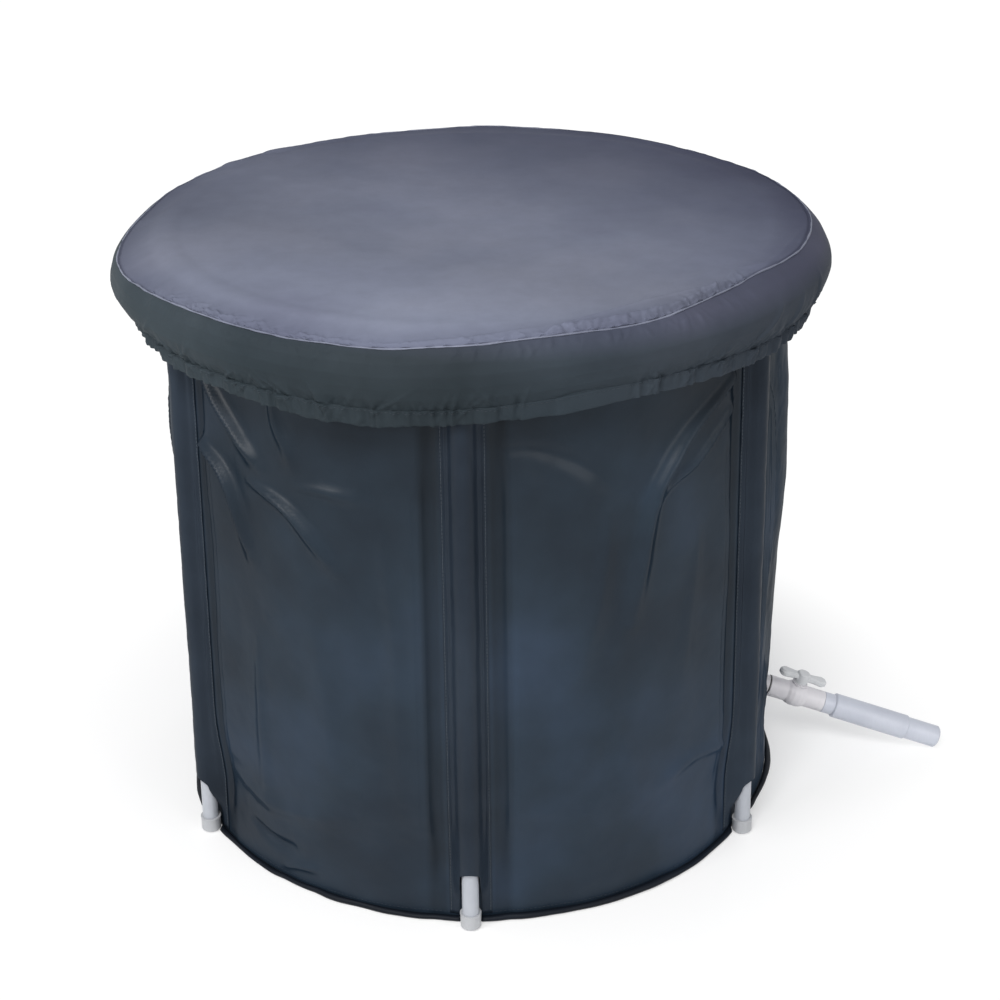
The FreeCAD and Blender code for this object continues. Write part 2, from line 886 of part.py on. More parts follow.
drain_spout = new_body("drain_spout")
flange_sketch = sketch_on(drain_spout, "flange", "YZ_Plane", flange_back)
draw_circle(flange_sketch, ZERO, ZERO, flange_radius)
raised(drain_spout, "Pad", "flange_pad", flange_sketch, flange_thickness)
neck_sketch = sketch_on(drain_spout, "neck_section", "YZ_Plane", flange_back)
draw_circle(neck_sketch, ZERO, ZERO, neck_radius)
neck_path = spout_path(drain_spout, "neck_path", flange_back, neck_run)
along_path(drain_spout, "AdditivePipe", "neck", neck_sketch, neck_path)
spigot_sketch = sketch_on(drain_spout, "spigot_section", "YZ_Plane", flange_back)
draw_circle(spigot_sketch, ZERO, ZERO, spigot_radius)
spigot_path = spout_path(drain_spout, "spigot_path", flange_back, spigot_end)
along_path(drain_spout, "AdditivePipe", "spigot", spigot_sketch, spigot_path)
bore_sketch = sketch_on(drain_spout, "bore_section", "YZ_Plane", flange_back - overrun)
draw_circle(bore_sketch, ZERO, ZERO, spout_bore)
bore_path = spout_path(drain_spout, "bore_path", flange_back - overrun, spigot_end + overrun)
along_path(drain_spout, "SubtractivePipe", "bore", bore_sketch, bore_path)
drain_spout.Placement = spout_pose


def spout_ring(label, inner, outer, low, high):
    """A washer about the spout's level run."""
    ring = turned_body(label, [(low, inner), (high, inner), (high, outer), (low, outer)], "H_Axis")
    ring.Placement = spout_pose
    return ring


def wall_cone(name, depth):
    """The solid inside one face of the wall, for trimming what lies against it."""
    cone = doc.addObject("Part::Cone", name)
    cone.setExpression("Radius1", wall_radius(ZERO, depth).text)
    cone.setExpression("Radius2", wall_radius(wall_top, depth).text)
    cone.setExpression("Height", wall_top.text)
    return cone


# Gasket under the flange, shaped by the liner, and the cloth patch welded round the hole outside
gasket_blank = spout_ring("gasket_blank", neck_radius + fit_gap, flange_radius, flange_face + fit_gap, ZERO)
gasket_form = wall_cone("gasket_form", inner_depth + running_gap)
drain_gasket = part_pair("Part::Common", "drain_gasket", gasket_blank, gasket_form)
patch = given("patch_thickness")
patch_radius = given("patch_radius")
patch_blank = spout_ring("patch_blank", neck_radius + fit_gap, patch_radius, flange_face, patch + overrun)
patch_band = part_pair(
    "Part::Cut",
    "patch_band",
    wall_cone("patch_outer", -(layer_gap + patch)),
    wall_cone("patch_inner", -layer_gap),
)
drain_patch = part_pair("Part::Common", "drain_patch", patch_blank, patch_band)
doc.recompute()

# Drain frame: its origin is where the bend ends, +X runs along the pipe and +Z is the stem's way
drain_pose = Placement(
    Vector((drain_wall_radius + bend_reach).number, 0, (drain_height - bend_drop).number),
    Rotation(Vector(0, 1, 0), drain_droop.number),
)


def drain_body(label, corners):
    body = turned_body(label, corners, "H_Axis")
    body.Placement = drain_pose
    return body


outlet_oring = drain_body("outlet_oring", rectangle(
    neck_run + fit_gap,
    valve_face - fit_gap,
    spigot_radius + fit_gap,
    neck_radius + running_gap,
))

# Ball valve body: socket, belly and barrel in one, a boss for the stem and a collar under the handle
socket_radius = given("valve_socket_radius")
barrel_radius = given("valve_barrel_radius")
valve_lip = given("valve_lip")
cavity_radius = given("valve_cavity_radius")
ball_centre = (bulge_start + bulge_end) / 2
ball_radius = given("ball_radius")
ball_bore = given("ball_bore_radius")
seat_inner = ball_bore + running_gap
seat_outer = cavity_radius - fit_gap
seat_sphere = ball_radius + running_gap + given("seat_relief")
seat_lip = root(seat_sphere * seat_sphere - seat_inner * seat_inner)
seat_face = root(seat_sphere * seat_sphere - given("seat_face_radius") * given("seat_face_radius"))
seat_back = seat_face + given("seat_depth")
cavity_start = ball_centre - seat_back - fit_gap
socket_floor = spigot_end + fit_gap
carrier_start = ball_centre + seat_back + fit_gap
carrier_end = carrier_start + given("carrier_length")
boss_radius = given("boss_radius")
boss_height = given("boss_height")
collar_height = given("collar_height")
stem_radius = given("stem_radius")
stem_flange_radius = given("stem_flange_radius")
stem_flange_low = ball_radius + running_gap
stem_flange_high = stem_flange_low + given("stem_flange_height")

belly_points = [
    (along, across)
    for across, along in curve_points(
        (socket_radius, bulge_start),
        (barrel_radius, bulge_end),
        given("valve_bulge_height"),
        bulge_curve_shares,
    )
]

valve_body = new_body("valve_body")
valve_outline = sketch_on(valve_body, "outline", "XZ_Plane")
draw(valve_outline, [
    (valve_face, ZERO),
    (valve_face, socket_radius - valve_lip),
    (valve_face + valve_lip, socket_radius),
    *belly_points,
    (valve_end - valve_lip, barrel_radius),
    (valve_end, barrel_radius - valve_lip),
    (valve_end, ZERO),
])
turned(valve_body, "Revolution", valve_outline, "H_Axis")
boss_sketch = sketch_on(valve_body, "boss", "XY_Plane")
draw_circle(boss_sketch, ball_centre, ZERO, boss_radius)
raised(valve_body, "Pad", "boss_pad", boss_sketch, boss_height + collar_height)
collar_sketch = sketch_on(valve_body, "collar", "XY_Plane", boss_height)
draw_circle(collar_sketch, ball_centre, ZERO, given("collar_radius"))
raised(valve_body, "Pad", "collar_pad", collar_sketch, collar_height)
volume_before = valve_body.Shape.Volume
water_way = sketch_on(valve_body, "water_way", "XZ_Plane")
draw(water_way, [
    (valve_face - overrun, ZERO),
    (valve_face - overrun, spigot_radius + fit_gap),
    (socket_floor, spigot_radius + fit_gap),
    (socket_floor, spout_bore),
    (cavity_start, spout_bore),
    (cavity_start, cavity_radius),
    (valve_end + overrun, cavity_radius),
    (valve_end + overrun, ZERO),
])
turned(valve_body, "Groove", water_way, "H_Axis")
check_cut(valve_body, volume_before, "water_way")
volume_before = valve_body.Shape.Volume
stem_way = sketch_on(valve_body, "stem_way", "XY_Plane")
draw_circle(stem_way, ball_centre, ZERO, stem_radius + running_gap)
raised(valve_body, "Pocket", "stem_pocket", stem_way, boss_height + collar_height + overrun, backwards=True)
check_cut(valve_body, volume_before, "stem_way")
volume_before = valve_body.Shape.Volume
shoulder_way = sketch_on(valve_body, "shoulder_way", "XY_Plane")
draw_circle(shoulder_way, ball_centre, ZERO, stem_flange_radius + running_gap)
raised(valve_body, "Pocket", "shoulder_pocket", shoulder_way, stem_flange_high + running_gap, backwards=True)
check_cut(valve_body, volume_before, "shoulder_way")
valve_body.Placement = drain_pose


def valve_seat(label, side):
    """A ring with a hollowed face that the ball bears on, on one side of it."""
    away = ball_centre + seat_back * side
    body = drain_body(label, [
        (away, seat_inner),
        (ball_centre + seat_lip * side, seat_inner),
        (ball_centre + seat_face * side, given("seat_face_radius")),
        (ball_centre + seat_face * side, seat_outer),
        (away, seat_outer),
    ])
    return body


valve_seat_inlet = valve_seat("valve_seat_inlet", -1)
valve_seat_outlet = valve_seat("valve_seat_outlet", 1)
seat_carrier = drain_body("seat_carrier", [
    (carrier_start, seat_inner),
    (carrier_end, seat_inner),
    (carrier_end, seat_outer),
    (carrier_start, seat_outer),
])

# Drain pipe: a coupling, the wide pipe and the narrower outlet, each pushed into the one before
coupling_radius = given("coupling_radius")
coupling_wall = given("coupling_wall")
coupling_bore = seat_outer - coupling_wall
pipe_radius = given("pipe_radius")
pipe_bore = pipe_radius - given("pipe_wall")
pipe_lip = given("pipe_lip")
overlap = given("joint_overlap")
coupling_in_pipe = pipe_bore - fit_gap
nozzle_bore = nozzle_radius - given("nozzle_wall")

drain_coupling = drain_body("drain_coupling", [
    (carrier_end + fit_gap, coupling_bore),
    (coupling_end + overlap, coupling_bore),
    (coupling_end + overlap, coupling_in_pipe),
    (coupling_end - fit_gap, coupling_in_pipe),
    (coupling_end - fit_gap, coupling_radius),
    (valve_end + fit_gap, coupling_radius),
    (valve_end + fit_gap, seat_outer),
    (carrier_end + fit_gap, seat_outer),
])
drain_pipe = drain_body("drain_pipe", [
    (coupling_end, pipe_bore),
    (pipe_end, pipe_bore),
    (pipe_end, pipe_radius - pipe_lip),
    (pipe_end - pipe_lip, pipe_radius),
    (coupling_end + pipe_lip, pipe_radius),
    (coupling_end, pipe_radius - pipe_lip),
])
drain_nozzle = drain_body("drain_nozzle", [
    (pipe_end - overlap, nozzle_bore),
    (nozzle_end, nozzle_bore),
    (nozzle_end, nozzle_radius - nozzle_bevel),
    (nozzle_end - nozzle_bevel, nozzle_radius),
    (pipe_end + fit_gap, nozzle_radius),
    (pipe_end + fit_gap, coupling_in_pipe),
    (pipe_end - overlap, coupling_in_pipe),
])

# Turning parts of the valve. Their frame is the drain's, moved to the ball's centre.
rotor_pose = drain_pose.multiply(Placement(Vector(ball_centre.number, 0, 0), Rotation()))
slot_gap = fit_gap * 2
tang_half = given("tang_width") / 2
handle_low = boss_height + collar_height + running_gap
hub_top = handle_low + given("hub_height")
plate_top = hub_top - given("hub_rise")
plate_low = plate_top - given("handle_thickness")
stem_top = plate_top

valve_ball = new_body("valve_ball")
ball_sketch = sketch_on(valve_ball, "half_round", "XZ_Plane")
half_turn = FULL_TURN / 2
ball_steps = DRIVING["ball_steps"]
ball_corners = [(ZERO, -ball_radius)]
for number in range(1, ball_steps):
    angle = as_size(half_turn * number / ball_steps - QUARTER_TURN)
    ball_corners.append((ball_radius * cosine(angle), ball_radius * sine(angle)))
ball_corners.append((ZERO, ball_radius))
draw(ball_sketch, ball_corners)
turned(valve_ball, "Revolution", ball_sketch, "V_Axis")
volume_before = valve_ball.Shape.Volume
ball_way = sketch_on(valve_ball, "water_way", "YZ_Plane", -(ball_radius + overrun))
draw_circle(ball_way, ZERO, ZERO, ball_bore)
raised(valve_ball, "Pocket", "water_pocket", ball_way, (ball_radius + overrun) * 2, backwards=True)
check_cut(valve_ball, volume_before, "water_way")
volume_before = valve_ball.Shape.Volume
slot_depth = given("tang_depth") + slot_gap
slot_sketch = sketch_on(valve_ball, "stem_slot", "XZ_Plane", -(ball_radius + overrun))
slot_low = stem_flange_low - slot_depth
draw(slot_sketch, rectangle(-(tang_half + slot_gap), tang_half + slot_gap, slot_low, ball_radius + overrun))
raised(valve_ball, "Pocket", "slot_pocket", slot_sketch, (ball_radius + overrun) * 2, backwards=True)
check_cut(valve_ball, volume_before, "stem_slot")
valve_ball.Placement = rotor_pose

# Stem: a flange that keeps it in the valve, a groove for its seal and a tang in the ball's slot
seal_section = given("stem_seal_section")
seal_height = (stem_flange_high + boss_height + collar_height) / 2
groove_floor = stem_radius - seal_section * 2
groove_half = seal_section + fit_gap
valve_stem = turned_body("valve_stem", [
    (ZERO, stem_flange_low),
    (stem_flange_radius, stem_flange_low),
    (stem_flange_radius, stem_flange_high),
    (stem_radius, stem_flange_high),
    (stem_radius, seal_height - groove_half),
    (groove_floor, seal_height - groove_half),
    (groove_floor, seal_height + groove_half),
    (stem_radius, seal_height + groove_half),
    (stem_radius, stem_top),
    (ZERO, stem_top),
])
tang_sketch = sketch_on(valve_stem, "tang", "XY_Plane", stem_flange_low)
draw(tang_sketch, rectangle(-tang_half, tang_half, -stem_radius, stem_radius))
raised(valve_stem, "Pad", "tang_pad", tang_sketch, given("tang_depth"), backwards=True)
valve_stem.Placement = rotor_pose

stem_oring = turned_body("stem_oring", rectangle(
    groove_floor + fit_gap,
    stem_radius,
    seal_height - seal_section,
    seal_height + seal_section,
))
stem_oring.Placement = rotor_pose

# Handle: a plate with two round lobes and a narrower waist, and a raised hub over the stem
hub_radius = given("hub_radius")
lobe = given("handle_lobe_radius")
tip = given("handle_half_length")
waist = given("handle_waist")
waist_reach = given("handle_waist_reach")
lobe_centre = tip - lobe
handle_bevel = given("handle_bevel")

valve_handle = new_body("valve_handle")
plate_corners = [
    (tip, ZERO, lobe, COUNTER_CLOCKWISE),
    (lobe_centre, lobe),
    (waist_reach, waist),
    (-waist_reach, waist),
    (-lobe_centre, lobe, lobe, COUNTER_CLOCKWISE),
    (-tip, ZERO, lobe, COUNTER_CLOCKWISE),
    (-lobe_centre, -lobe),
    (-waist_reach, -waist),
    (waist_reach, -waist),
    (lobe_centre, -lobe, lobe, COUNTER_CLOCKWISE),
]


def plate_slice(name, low, thickness, downwards, taper):
    slice_sketch = sketch_on(valve_handle, name, "XY_Plane", low)
    draw(slice_sketch, plate_corners)
    raised(valve_handle, "Pad", f"{name}_pad", slice_sketch, thickness, downwards, taper)


edge_low = plate_low + handle_bevel
edge_high = plate_top - handle_bevel
plate_slice("plate", edge_low, edge_high - edge_low, False, 0)
plate_slice("upper_bevel", edge_high, handle_bevel, False, -BEVEL_ANGLE)
plate_slice("lower_bevel", edge_low, handle_bevel, True, -BEVEL_ANGLE)
hub_bevel = given("hub_bevel")
hub_sketch = sketch_on(valve_handle, "hub", "XZ_Plane")
draw(hub_sketch, [
    (ZERO, handle_low),
    (hub_radius * hub_skirt_share, handle_low),
    (hub_radius, plate_low),
    (hub_radius, hub_top - hub_bevel),
    (hub_radius - hub_bevel, hub_top),
    (ZERO, hub_top),
])
turned(valve_handle, "Revolution", hub_sketch, "V_Axis")
volume_before = valve_handle.Shape.Volume
hub_bore = sketch_on(valve_handle, "stem_hole", "XY_Plane", handle_low - overrun)
draw_circle(hub_bore, ZERO, ZERO, stem_radius + fit_gap)
raised(
    valve_handle,
    "Pocket",
    "stem_hole_pocket",
    hub_bore,
    stem_top + fit_gap - handle_low + overrun,
    backwards=True,
)
check_cut(valve_handle, volume_before, "stem_hole")
valve_handle.Placement = rotor_pose

# Every piece, in the order of the tub, its rim, its cover, its poles and its drain
PIECES = [
    wall_skin, *foam_panels, wall_liner, floor_skin, floor_foam_disc, floor_liner, base_welt,
    rim_cuff, air_ring, air_valve_base, air_valve_plug,
    lid_panel, lid_piping, lid_skirt, lid_hem, lid_elastic,
    *poles,
    drain_spout, drain_gasket, drain_patch, outlet_oring,
    valve_body, valve_seat_inlet, valve_seat_outlet, seat_carrier,
    valve_ball, valve_stem, stem_oring, valve_handle,
    drain_coupling, drain_pipe, drain_nozzle,
]

doc.recompute()
for item in doc.Objects:
    if "Invalid" in item.State or "Error" in item.State:
        raise ValueError(f"{item.Label} did not build: {item.State}")
for piece in PIECES:
    if piece.Shape.isNull() or not piece.Shape.isValid():
        raise ValueError(f"{piece.Label} has no valid shape")

os.makedirs("parts", exist_ok=True)
for piece in PIECES:
    piece.Shape.exportStep(f"parts/{piece.Label}.step")
print(len(PIECES), "pieces written")
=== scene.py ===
import math

import bmesh
import bpy
import numpy as np
from mathutils import Matrix, Vector


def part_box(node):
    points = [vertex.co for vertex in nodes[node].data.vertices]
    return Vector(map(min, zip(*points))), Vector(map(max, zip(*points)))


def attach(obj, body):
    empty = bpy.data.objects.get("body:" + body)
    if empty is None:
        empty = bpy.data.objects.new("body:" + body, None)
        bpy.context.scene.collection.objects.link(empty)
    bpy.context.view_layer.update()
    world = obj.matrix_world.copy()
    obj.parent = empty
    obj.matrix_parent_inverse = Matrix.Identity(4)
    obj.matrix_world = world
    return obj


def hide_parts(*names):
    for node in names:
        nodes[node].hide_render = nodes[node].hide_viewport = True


# Looks of the round soaking tub. Lengths are metres, angles round the tub are degrees from the
# front pole, and heights are above the ground.

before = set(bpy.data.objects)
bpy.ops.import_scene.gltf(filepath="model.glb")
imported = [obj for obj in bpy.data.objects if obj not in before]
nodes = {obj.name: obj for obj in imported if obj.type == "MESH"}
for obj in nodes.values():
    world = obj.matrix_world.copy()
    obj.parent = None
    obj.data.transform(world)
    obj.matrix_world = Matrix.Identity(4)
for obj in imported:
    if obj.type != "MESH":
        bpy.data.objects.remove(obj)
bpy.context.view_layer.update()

MM = 0.001
POLES = 6
SECTOR = 360 / POLES
CLOTH_THICK = 0.9 * MM


# Places read from the frame


def reach(node, low=-1.0, high=10.0):
    """Least and greatest distance from the tub's middle of a node's points between two heights."""
    points = np.array([v.co for v in nodes[node].data.vertices])
    points = points[(points[:, 2] >= low) & (points[:, 2] <= high)]
    radius = np.hypot(points[:, 0], points[:, 1])
    return radius.min(), radius.max()


def heights(node):
    low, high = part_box(node)
    return low.z, high.z


wall_low, wall_top = heights("wall_skin")
foot_radius = reach("wall_skin", high=wall_low + MM)[1]
head_radius = reach("wall_skin", low=wall_top - MM)[1]
inner_foot = reach("wall_liner", high=wall_low + MM)[0]
inner_head, liner_outer = reach("wall_liner", low=wall_top - MM)
liner_thick = liner_outer - inner_head
ring_low, ring_high = heights("rim_cuff")
ring_height = (ring_low + ring_high) / 2
cuff_outer = (ring_high - ring_low) / 2
ring_radius = sum(reach("rim_cuff")) / 2
bladder = (heights("air_ring")[1] - heights("air_ring")[0]) / 2
floor_top = heights("floor_liner")[1]
welt_low, welt_high = heights("base_welt")
welt_outer = reach("base_welt")[1]
cap_inner, cap_outer = reach("foot_cap_1")
pole_radius = (cap_inner + cap_outer) / 2
cap_half = (cap_outer - cap_inner) / 2
cap_top = heights("foot_cap_1")[1]
sleeve_low, sleeve_high = heights("pole_sleeve_1")
lid_top = heights("lid_panel")[1]
seam_radius = sum(reach("lid_piping")) / 2
skirt_tall = heights("lid_skirt")[1] - heights("lid_skirt")[0]
skirt_bulge = reach("lid_skirt")[1]
hem_low, hem_high = heights("lid_hem")
hem_outer = reach("lid_hem")[1]
hem_half_wide = (hem_outer - reach("lid_hem")[0]) / 2
hem_half_tall = (hem_high - hem_low) / 2


def wall_radius(height):
    return foot_radius + (head_radius - foot_radius) * height / wall_top


# Number fields: noise and folds, the same at each run


def smooth(low, high, value):
    """0 below low, 1 above high, and a soft step between them."""
    share = np.clip((value - low) / (high - low), 0, 1)
    return share * share * (3 - 2 * share)


def bell(value, width):
    """1 at 0, falling away softly to both sides."""
    return np.exp(-((value / width) ** 2))


def noise(around, along, cells_around, cells_along, seed):
    """Soft noise from -1 to 1. It repeats after one turn; around and along run from 0 to 1."""
    table = np.random.default_rng(seed).uniform(-1, 1, (cells_along + 2, cells_around))
    across = np.mod(around, 1) * cells_around
    up = np.clip(along, 0, 1) * cells_along
    column = np.floor(across).astype(int)
    row = np.floor(up).astype(int)
    share_a, share_u = (s ** 3 * (s * (s * 6 - 15) + 10) for s in (across - column, up - row))
    right = (column + 1) % cells_around
    column = column % cells_around
    low = table[row, column] * (1 - share_a) + table[row, right] * share_a
    high = table[row + 1, column] * (1 - share_a) + table[row + 1, right] * share_a
    return low * (1 - share_u) + high * share_u


def noise_round(angle, cells, seed):
    """Soft noise that changes with the angle only."""
    return noise((angle + 180) / 360, 0 * angle, cells, 1, seed)


def turn_gap(angle, centre):
    """Angle from a centre, between -180 and 180 degrees."""
    return (angle - centre + 180) % 360 - 180


def pole_gap(angle):
    """Angle from the nearest pole."""
    return np.abs(turn_gap(np.mod(angle, SECTOR) * POLES, 0)) / POLES


def round_table(angle, rows):
    """A size that follows a table of angles round the tub, softened between its rows."""
    steps = np.arange(-180, 180, 0.5)
    sizes = np.interp(steps, *zip(*rows), period=360)
    for _ in range(40):
        sizes = (np.roll(sizes, 1) + 2 * sizes + np.roll(sizes, -1)) / 4
    return np.interp(angle, steps, sizes, period=360) * MM


def rounded(path):
    """A path with its corners cut twice, so that a fold bends without a kink."""
    for _ in range(2 if len(path) > 2 else 0):
        cut = []
        for start, finish in zip(path, path[1:]):
            for share in (0.25, 0.75):
                cut.append(tuple(a + (b - a) * share for a, b in zip(start, finish)))
        path = [path[0], *cut, path[-1]]
    return path


def crease(angle, height, path, width, rise):
    """A long soft ridge along a path of angles and heights, thinning out at both ends. Width and
    rise are in millimetres."""
    path = rounded(path)
    ways = [
        (math.radians(finish[0] - start[0]) * foot_radius, finish[1] - start[1])
        for start, finish in zip(path, path[1:])
    ]
    total = sum(math.hypot(*way) for way in ways)
    best = np.full(angle.shape, 1e9)
    run = np.zeros(angle.shape)
    before = 0
    for start, (way_across, way_up) in zip(path, ways):
        length = math.hypot(way_across, way_up)
        across = np.radians(turn_gap(angle, start[0])) * foot_radius
        up = height - start[1]
        share = np.clip((across * way_across + up * way_up) / length ** 2, 0, 1)
        gap = np.hypot(across - share * way_across, up - share * way_up)
        nearer = gap < best
        best = np.where(nearer, gap, best)
        run = np.where(nearer, (before + share * length) / total, run)
        before += length
    thinning = np.sqrt(np.clip(np.sin(np.pi * np.clip(run, 0.02, 0.98)), 0, 1))
    gap = best / (width * MM * (0.6 + 0.8 * run))
    return rise * MM * thinning * (0.86 * np.exp(-gap ** 2) + 0.14 * np.exp(-2 * gap))


def puckers(angle, along, count, seed, centres, spread, width, rise, slant, reach_along):
    """Many short creases across a seam, gathered round some angles, fading away from the seam."""
    draws = np.random.default_rng(seed)
    total = np.zeros(angle.shape)
    for _ in range(count):
        middle = draws.choice(centres) + draws.normal(0, spread)
        lean = draws.normal(0, slant)
        wide = width * draws.uniform(0.6, 1.6)
        size = rise * draws.uniform(0.35, 1.0)
        far = reach_along * draws.uniform(0.5, 1.5)
        limit = math.degrees((4 * wide + 3 * far * abs(lean)) / seam_radius) + 1
        part = np.nonzero(np.abs(turn_gap(angle[0], middle)) < limit)[0]
        if len(part):
            gap = np.radians(turn_gap(angle[:, part], middle)) * seam_radius - lean * along[:, part]
            total[:, part] += size * bell(gap, wide) * bell(along[:, part], far)
    return total


# Mesh building


def link_mesh(mesh):
    piece = bpy.data.objects.new(mesh.name, mesh)
    bpy.context.scene.collection.objects.link(piece)
    return piece


def squares(grid):
    """The four corners of each square of a grid."""
    return np.stack([grid[:-1, :-1], grid[:-1, 1:], grid[1:, 1:], grid[1:, :-1]], axis=2)


def sheet_mesh(name, points, measures, wrap=False, flip=False):
    """A mesh object from a grid of points, with each point's place on the cloth in metres.
    It faces the side from which its columns run to the right while its rows run up."""
    rows, columns = points.shape[:2]
    index = np.arange(rows * columns).reshape(rows, columns)
    if wrap:
        index = np.concatenate([index, index[:, :1]], axis=1)
        extra = measures[:, :1].copy()
        extra[..., 0] = measures[:, -1:, 0] + measures[:, 1:2, 0] - measures[:, :1, 0]
        measures = np.concatenate([measures, extra], axis=1)
    corners = squares(index).reshape(-1, 4)
    places = squares(measures).reshape(-1, 4, 2)
    if flip:
        corners = corners[:, ::-1]
        places = places[:, ::-1]
    mesh = bpy.data.meshes.new(name)
    mesh.vertices.add(rows * columns)
    mesh.vertices.foreach_set("co", points.reshape(-1).astype(np.float32))
    mesh.loops.add(corners.size)
    mesh.loops.foreach_set("vertex_index", corners.reshape(-1).astype(np.int32))
    mesh.polygons.add(len(corners))
    mesh.polygons.foreach_set("loop_start", np.arange(0, corners.size, 4, dtype=np.int32))
    mesh.polygons.foreach_set("use_smooth", np.ones(len(corners), bool))
    mesh.update(calc_edges=True)
    layer = mesh.uv_layers.new(name="cloth")
    layer.data.foreach_set("uv", places.reshape(-1).astype(np.float32))
    mesh.validate()
    return link_mesh(mesh)


def thicken(piece, thickness):
    modifier = piece.modifiers.new("thickness", "SOLIDIFY")
    modifier.thickness = thickness
    modifier.offset = -1
    modifier.use_even_offset = False


def dress(piece, material, body, stands_for=()):
    """Give a piece its material, the body it rides on and the nodes that it stands for."""
    piece.data.materials.clear()
    piece.data.materials.append(material)
    if stands_for:
        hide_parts(*stands_for)
    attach(piece, body)
    return piece


def around_grid(columns, rows):
    """Grids of the angle in degrees, a share from 0 to 1 by row, and the place round the tub
    from 0 to 1."""
    angle, share = np.meshgrid(np.linspace(-180, 180, columns, endpoint=False), np.linspace(0, 1, rows))
    return angle, share, (angle + 180) / 360


def tube_turn(share):
    """Angle round a tube's section by row, where the last row is closed to the first."""
    rows = len(share)
    return share * 2 * math.pi * (rows - 1) / rows


def on_turn(angle, radius, height):
    turn = np.radians(angle)
    return np.stack([radius * np.sin(turn), -radius * np.cos(turn), height + 0 * radius], axis=-1)


def turned_grid(name, angle, radius, height, flip=False, level=False, closed=False):
    """A sheet round the tub: radius and height at each point of the grid. A level sheet, such as
    a disc, is measured along X and Y and closed in its middle. A closed one is a tube."""
    steps = np.hypot(np.diff(radius, axis=0), np.diff(height, axis=0))
    along = np.concatenate([np.zeros((1, radius.shape[1])), np.cumsum(steps, axis=0)])
    along = along.mean(axis=1, keepdims=True) + 0 * radius
    across = np.radians(angle + 180) * np.mean(radius)
    measures = np.stack([across, along], axis=-1)
    piece = sheet_mesh(name, on_turn(angle, radius, height), measures, True, flip)
    if level:
        weld_points(piece, level)
    if closed:
        close_rows(piece, *radius.shape)
    return piece


def weld_points(piece, level=False):
    """Join the points that lie at one place, and measure level cloth along X and Y."""
    work = bmesh.new()
    work.from_mesh(piece.data)
    bmesh.ops.remove_doubles(work, verts=work.verts, dist=0.01 * MM)
    layer = work.loops.layers.uv.active
    for face in work.faces if level else ():
        for loop in face.loops:
            loop[layer].uv = loop.vert.co.x, loop.vert.co.y
    work.to_mesh(piece.data)
    work.free()


def close_rows(piece, rows, columns):
    """Join the last row of a turned grid to its first, so that the tube is closed."""
    work = bmesh.new()
    work.from_mesh(piece.data)
    work.verts.ensure_lookup_table()
    layer = work.loops.layers.uv.active
    last = (rows - 1) * columns
    wide, tall = 5 * MM, 3 * MM
    for column in range(columns):
        following = (column + 1) % columns
        corners = (last + column, last + following, following, column)
        face = work.faces.new([work.verts[corner] for corner in corners])
        face.smooth = True
        for loop, place in zip(face.loops, ((0, 0), (wide, 0), (wide, tall), (0, tall))):
            loop[layer].uv = (place[0] + column * wide, place[1])
    work.to_mesh(piece.data)
    work.free()


# Materials


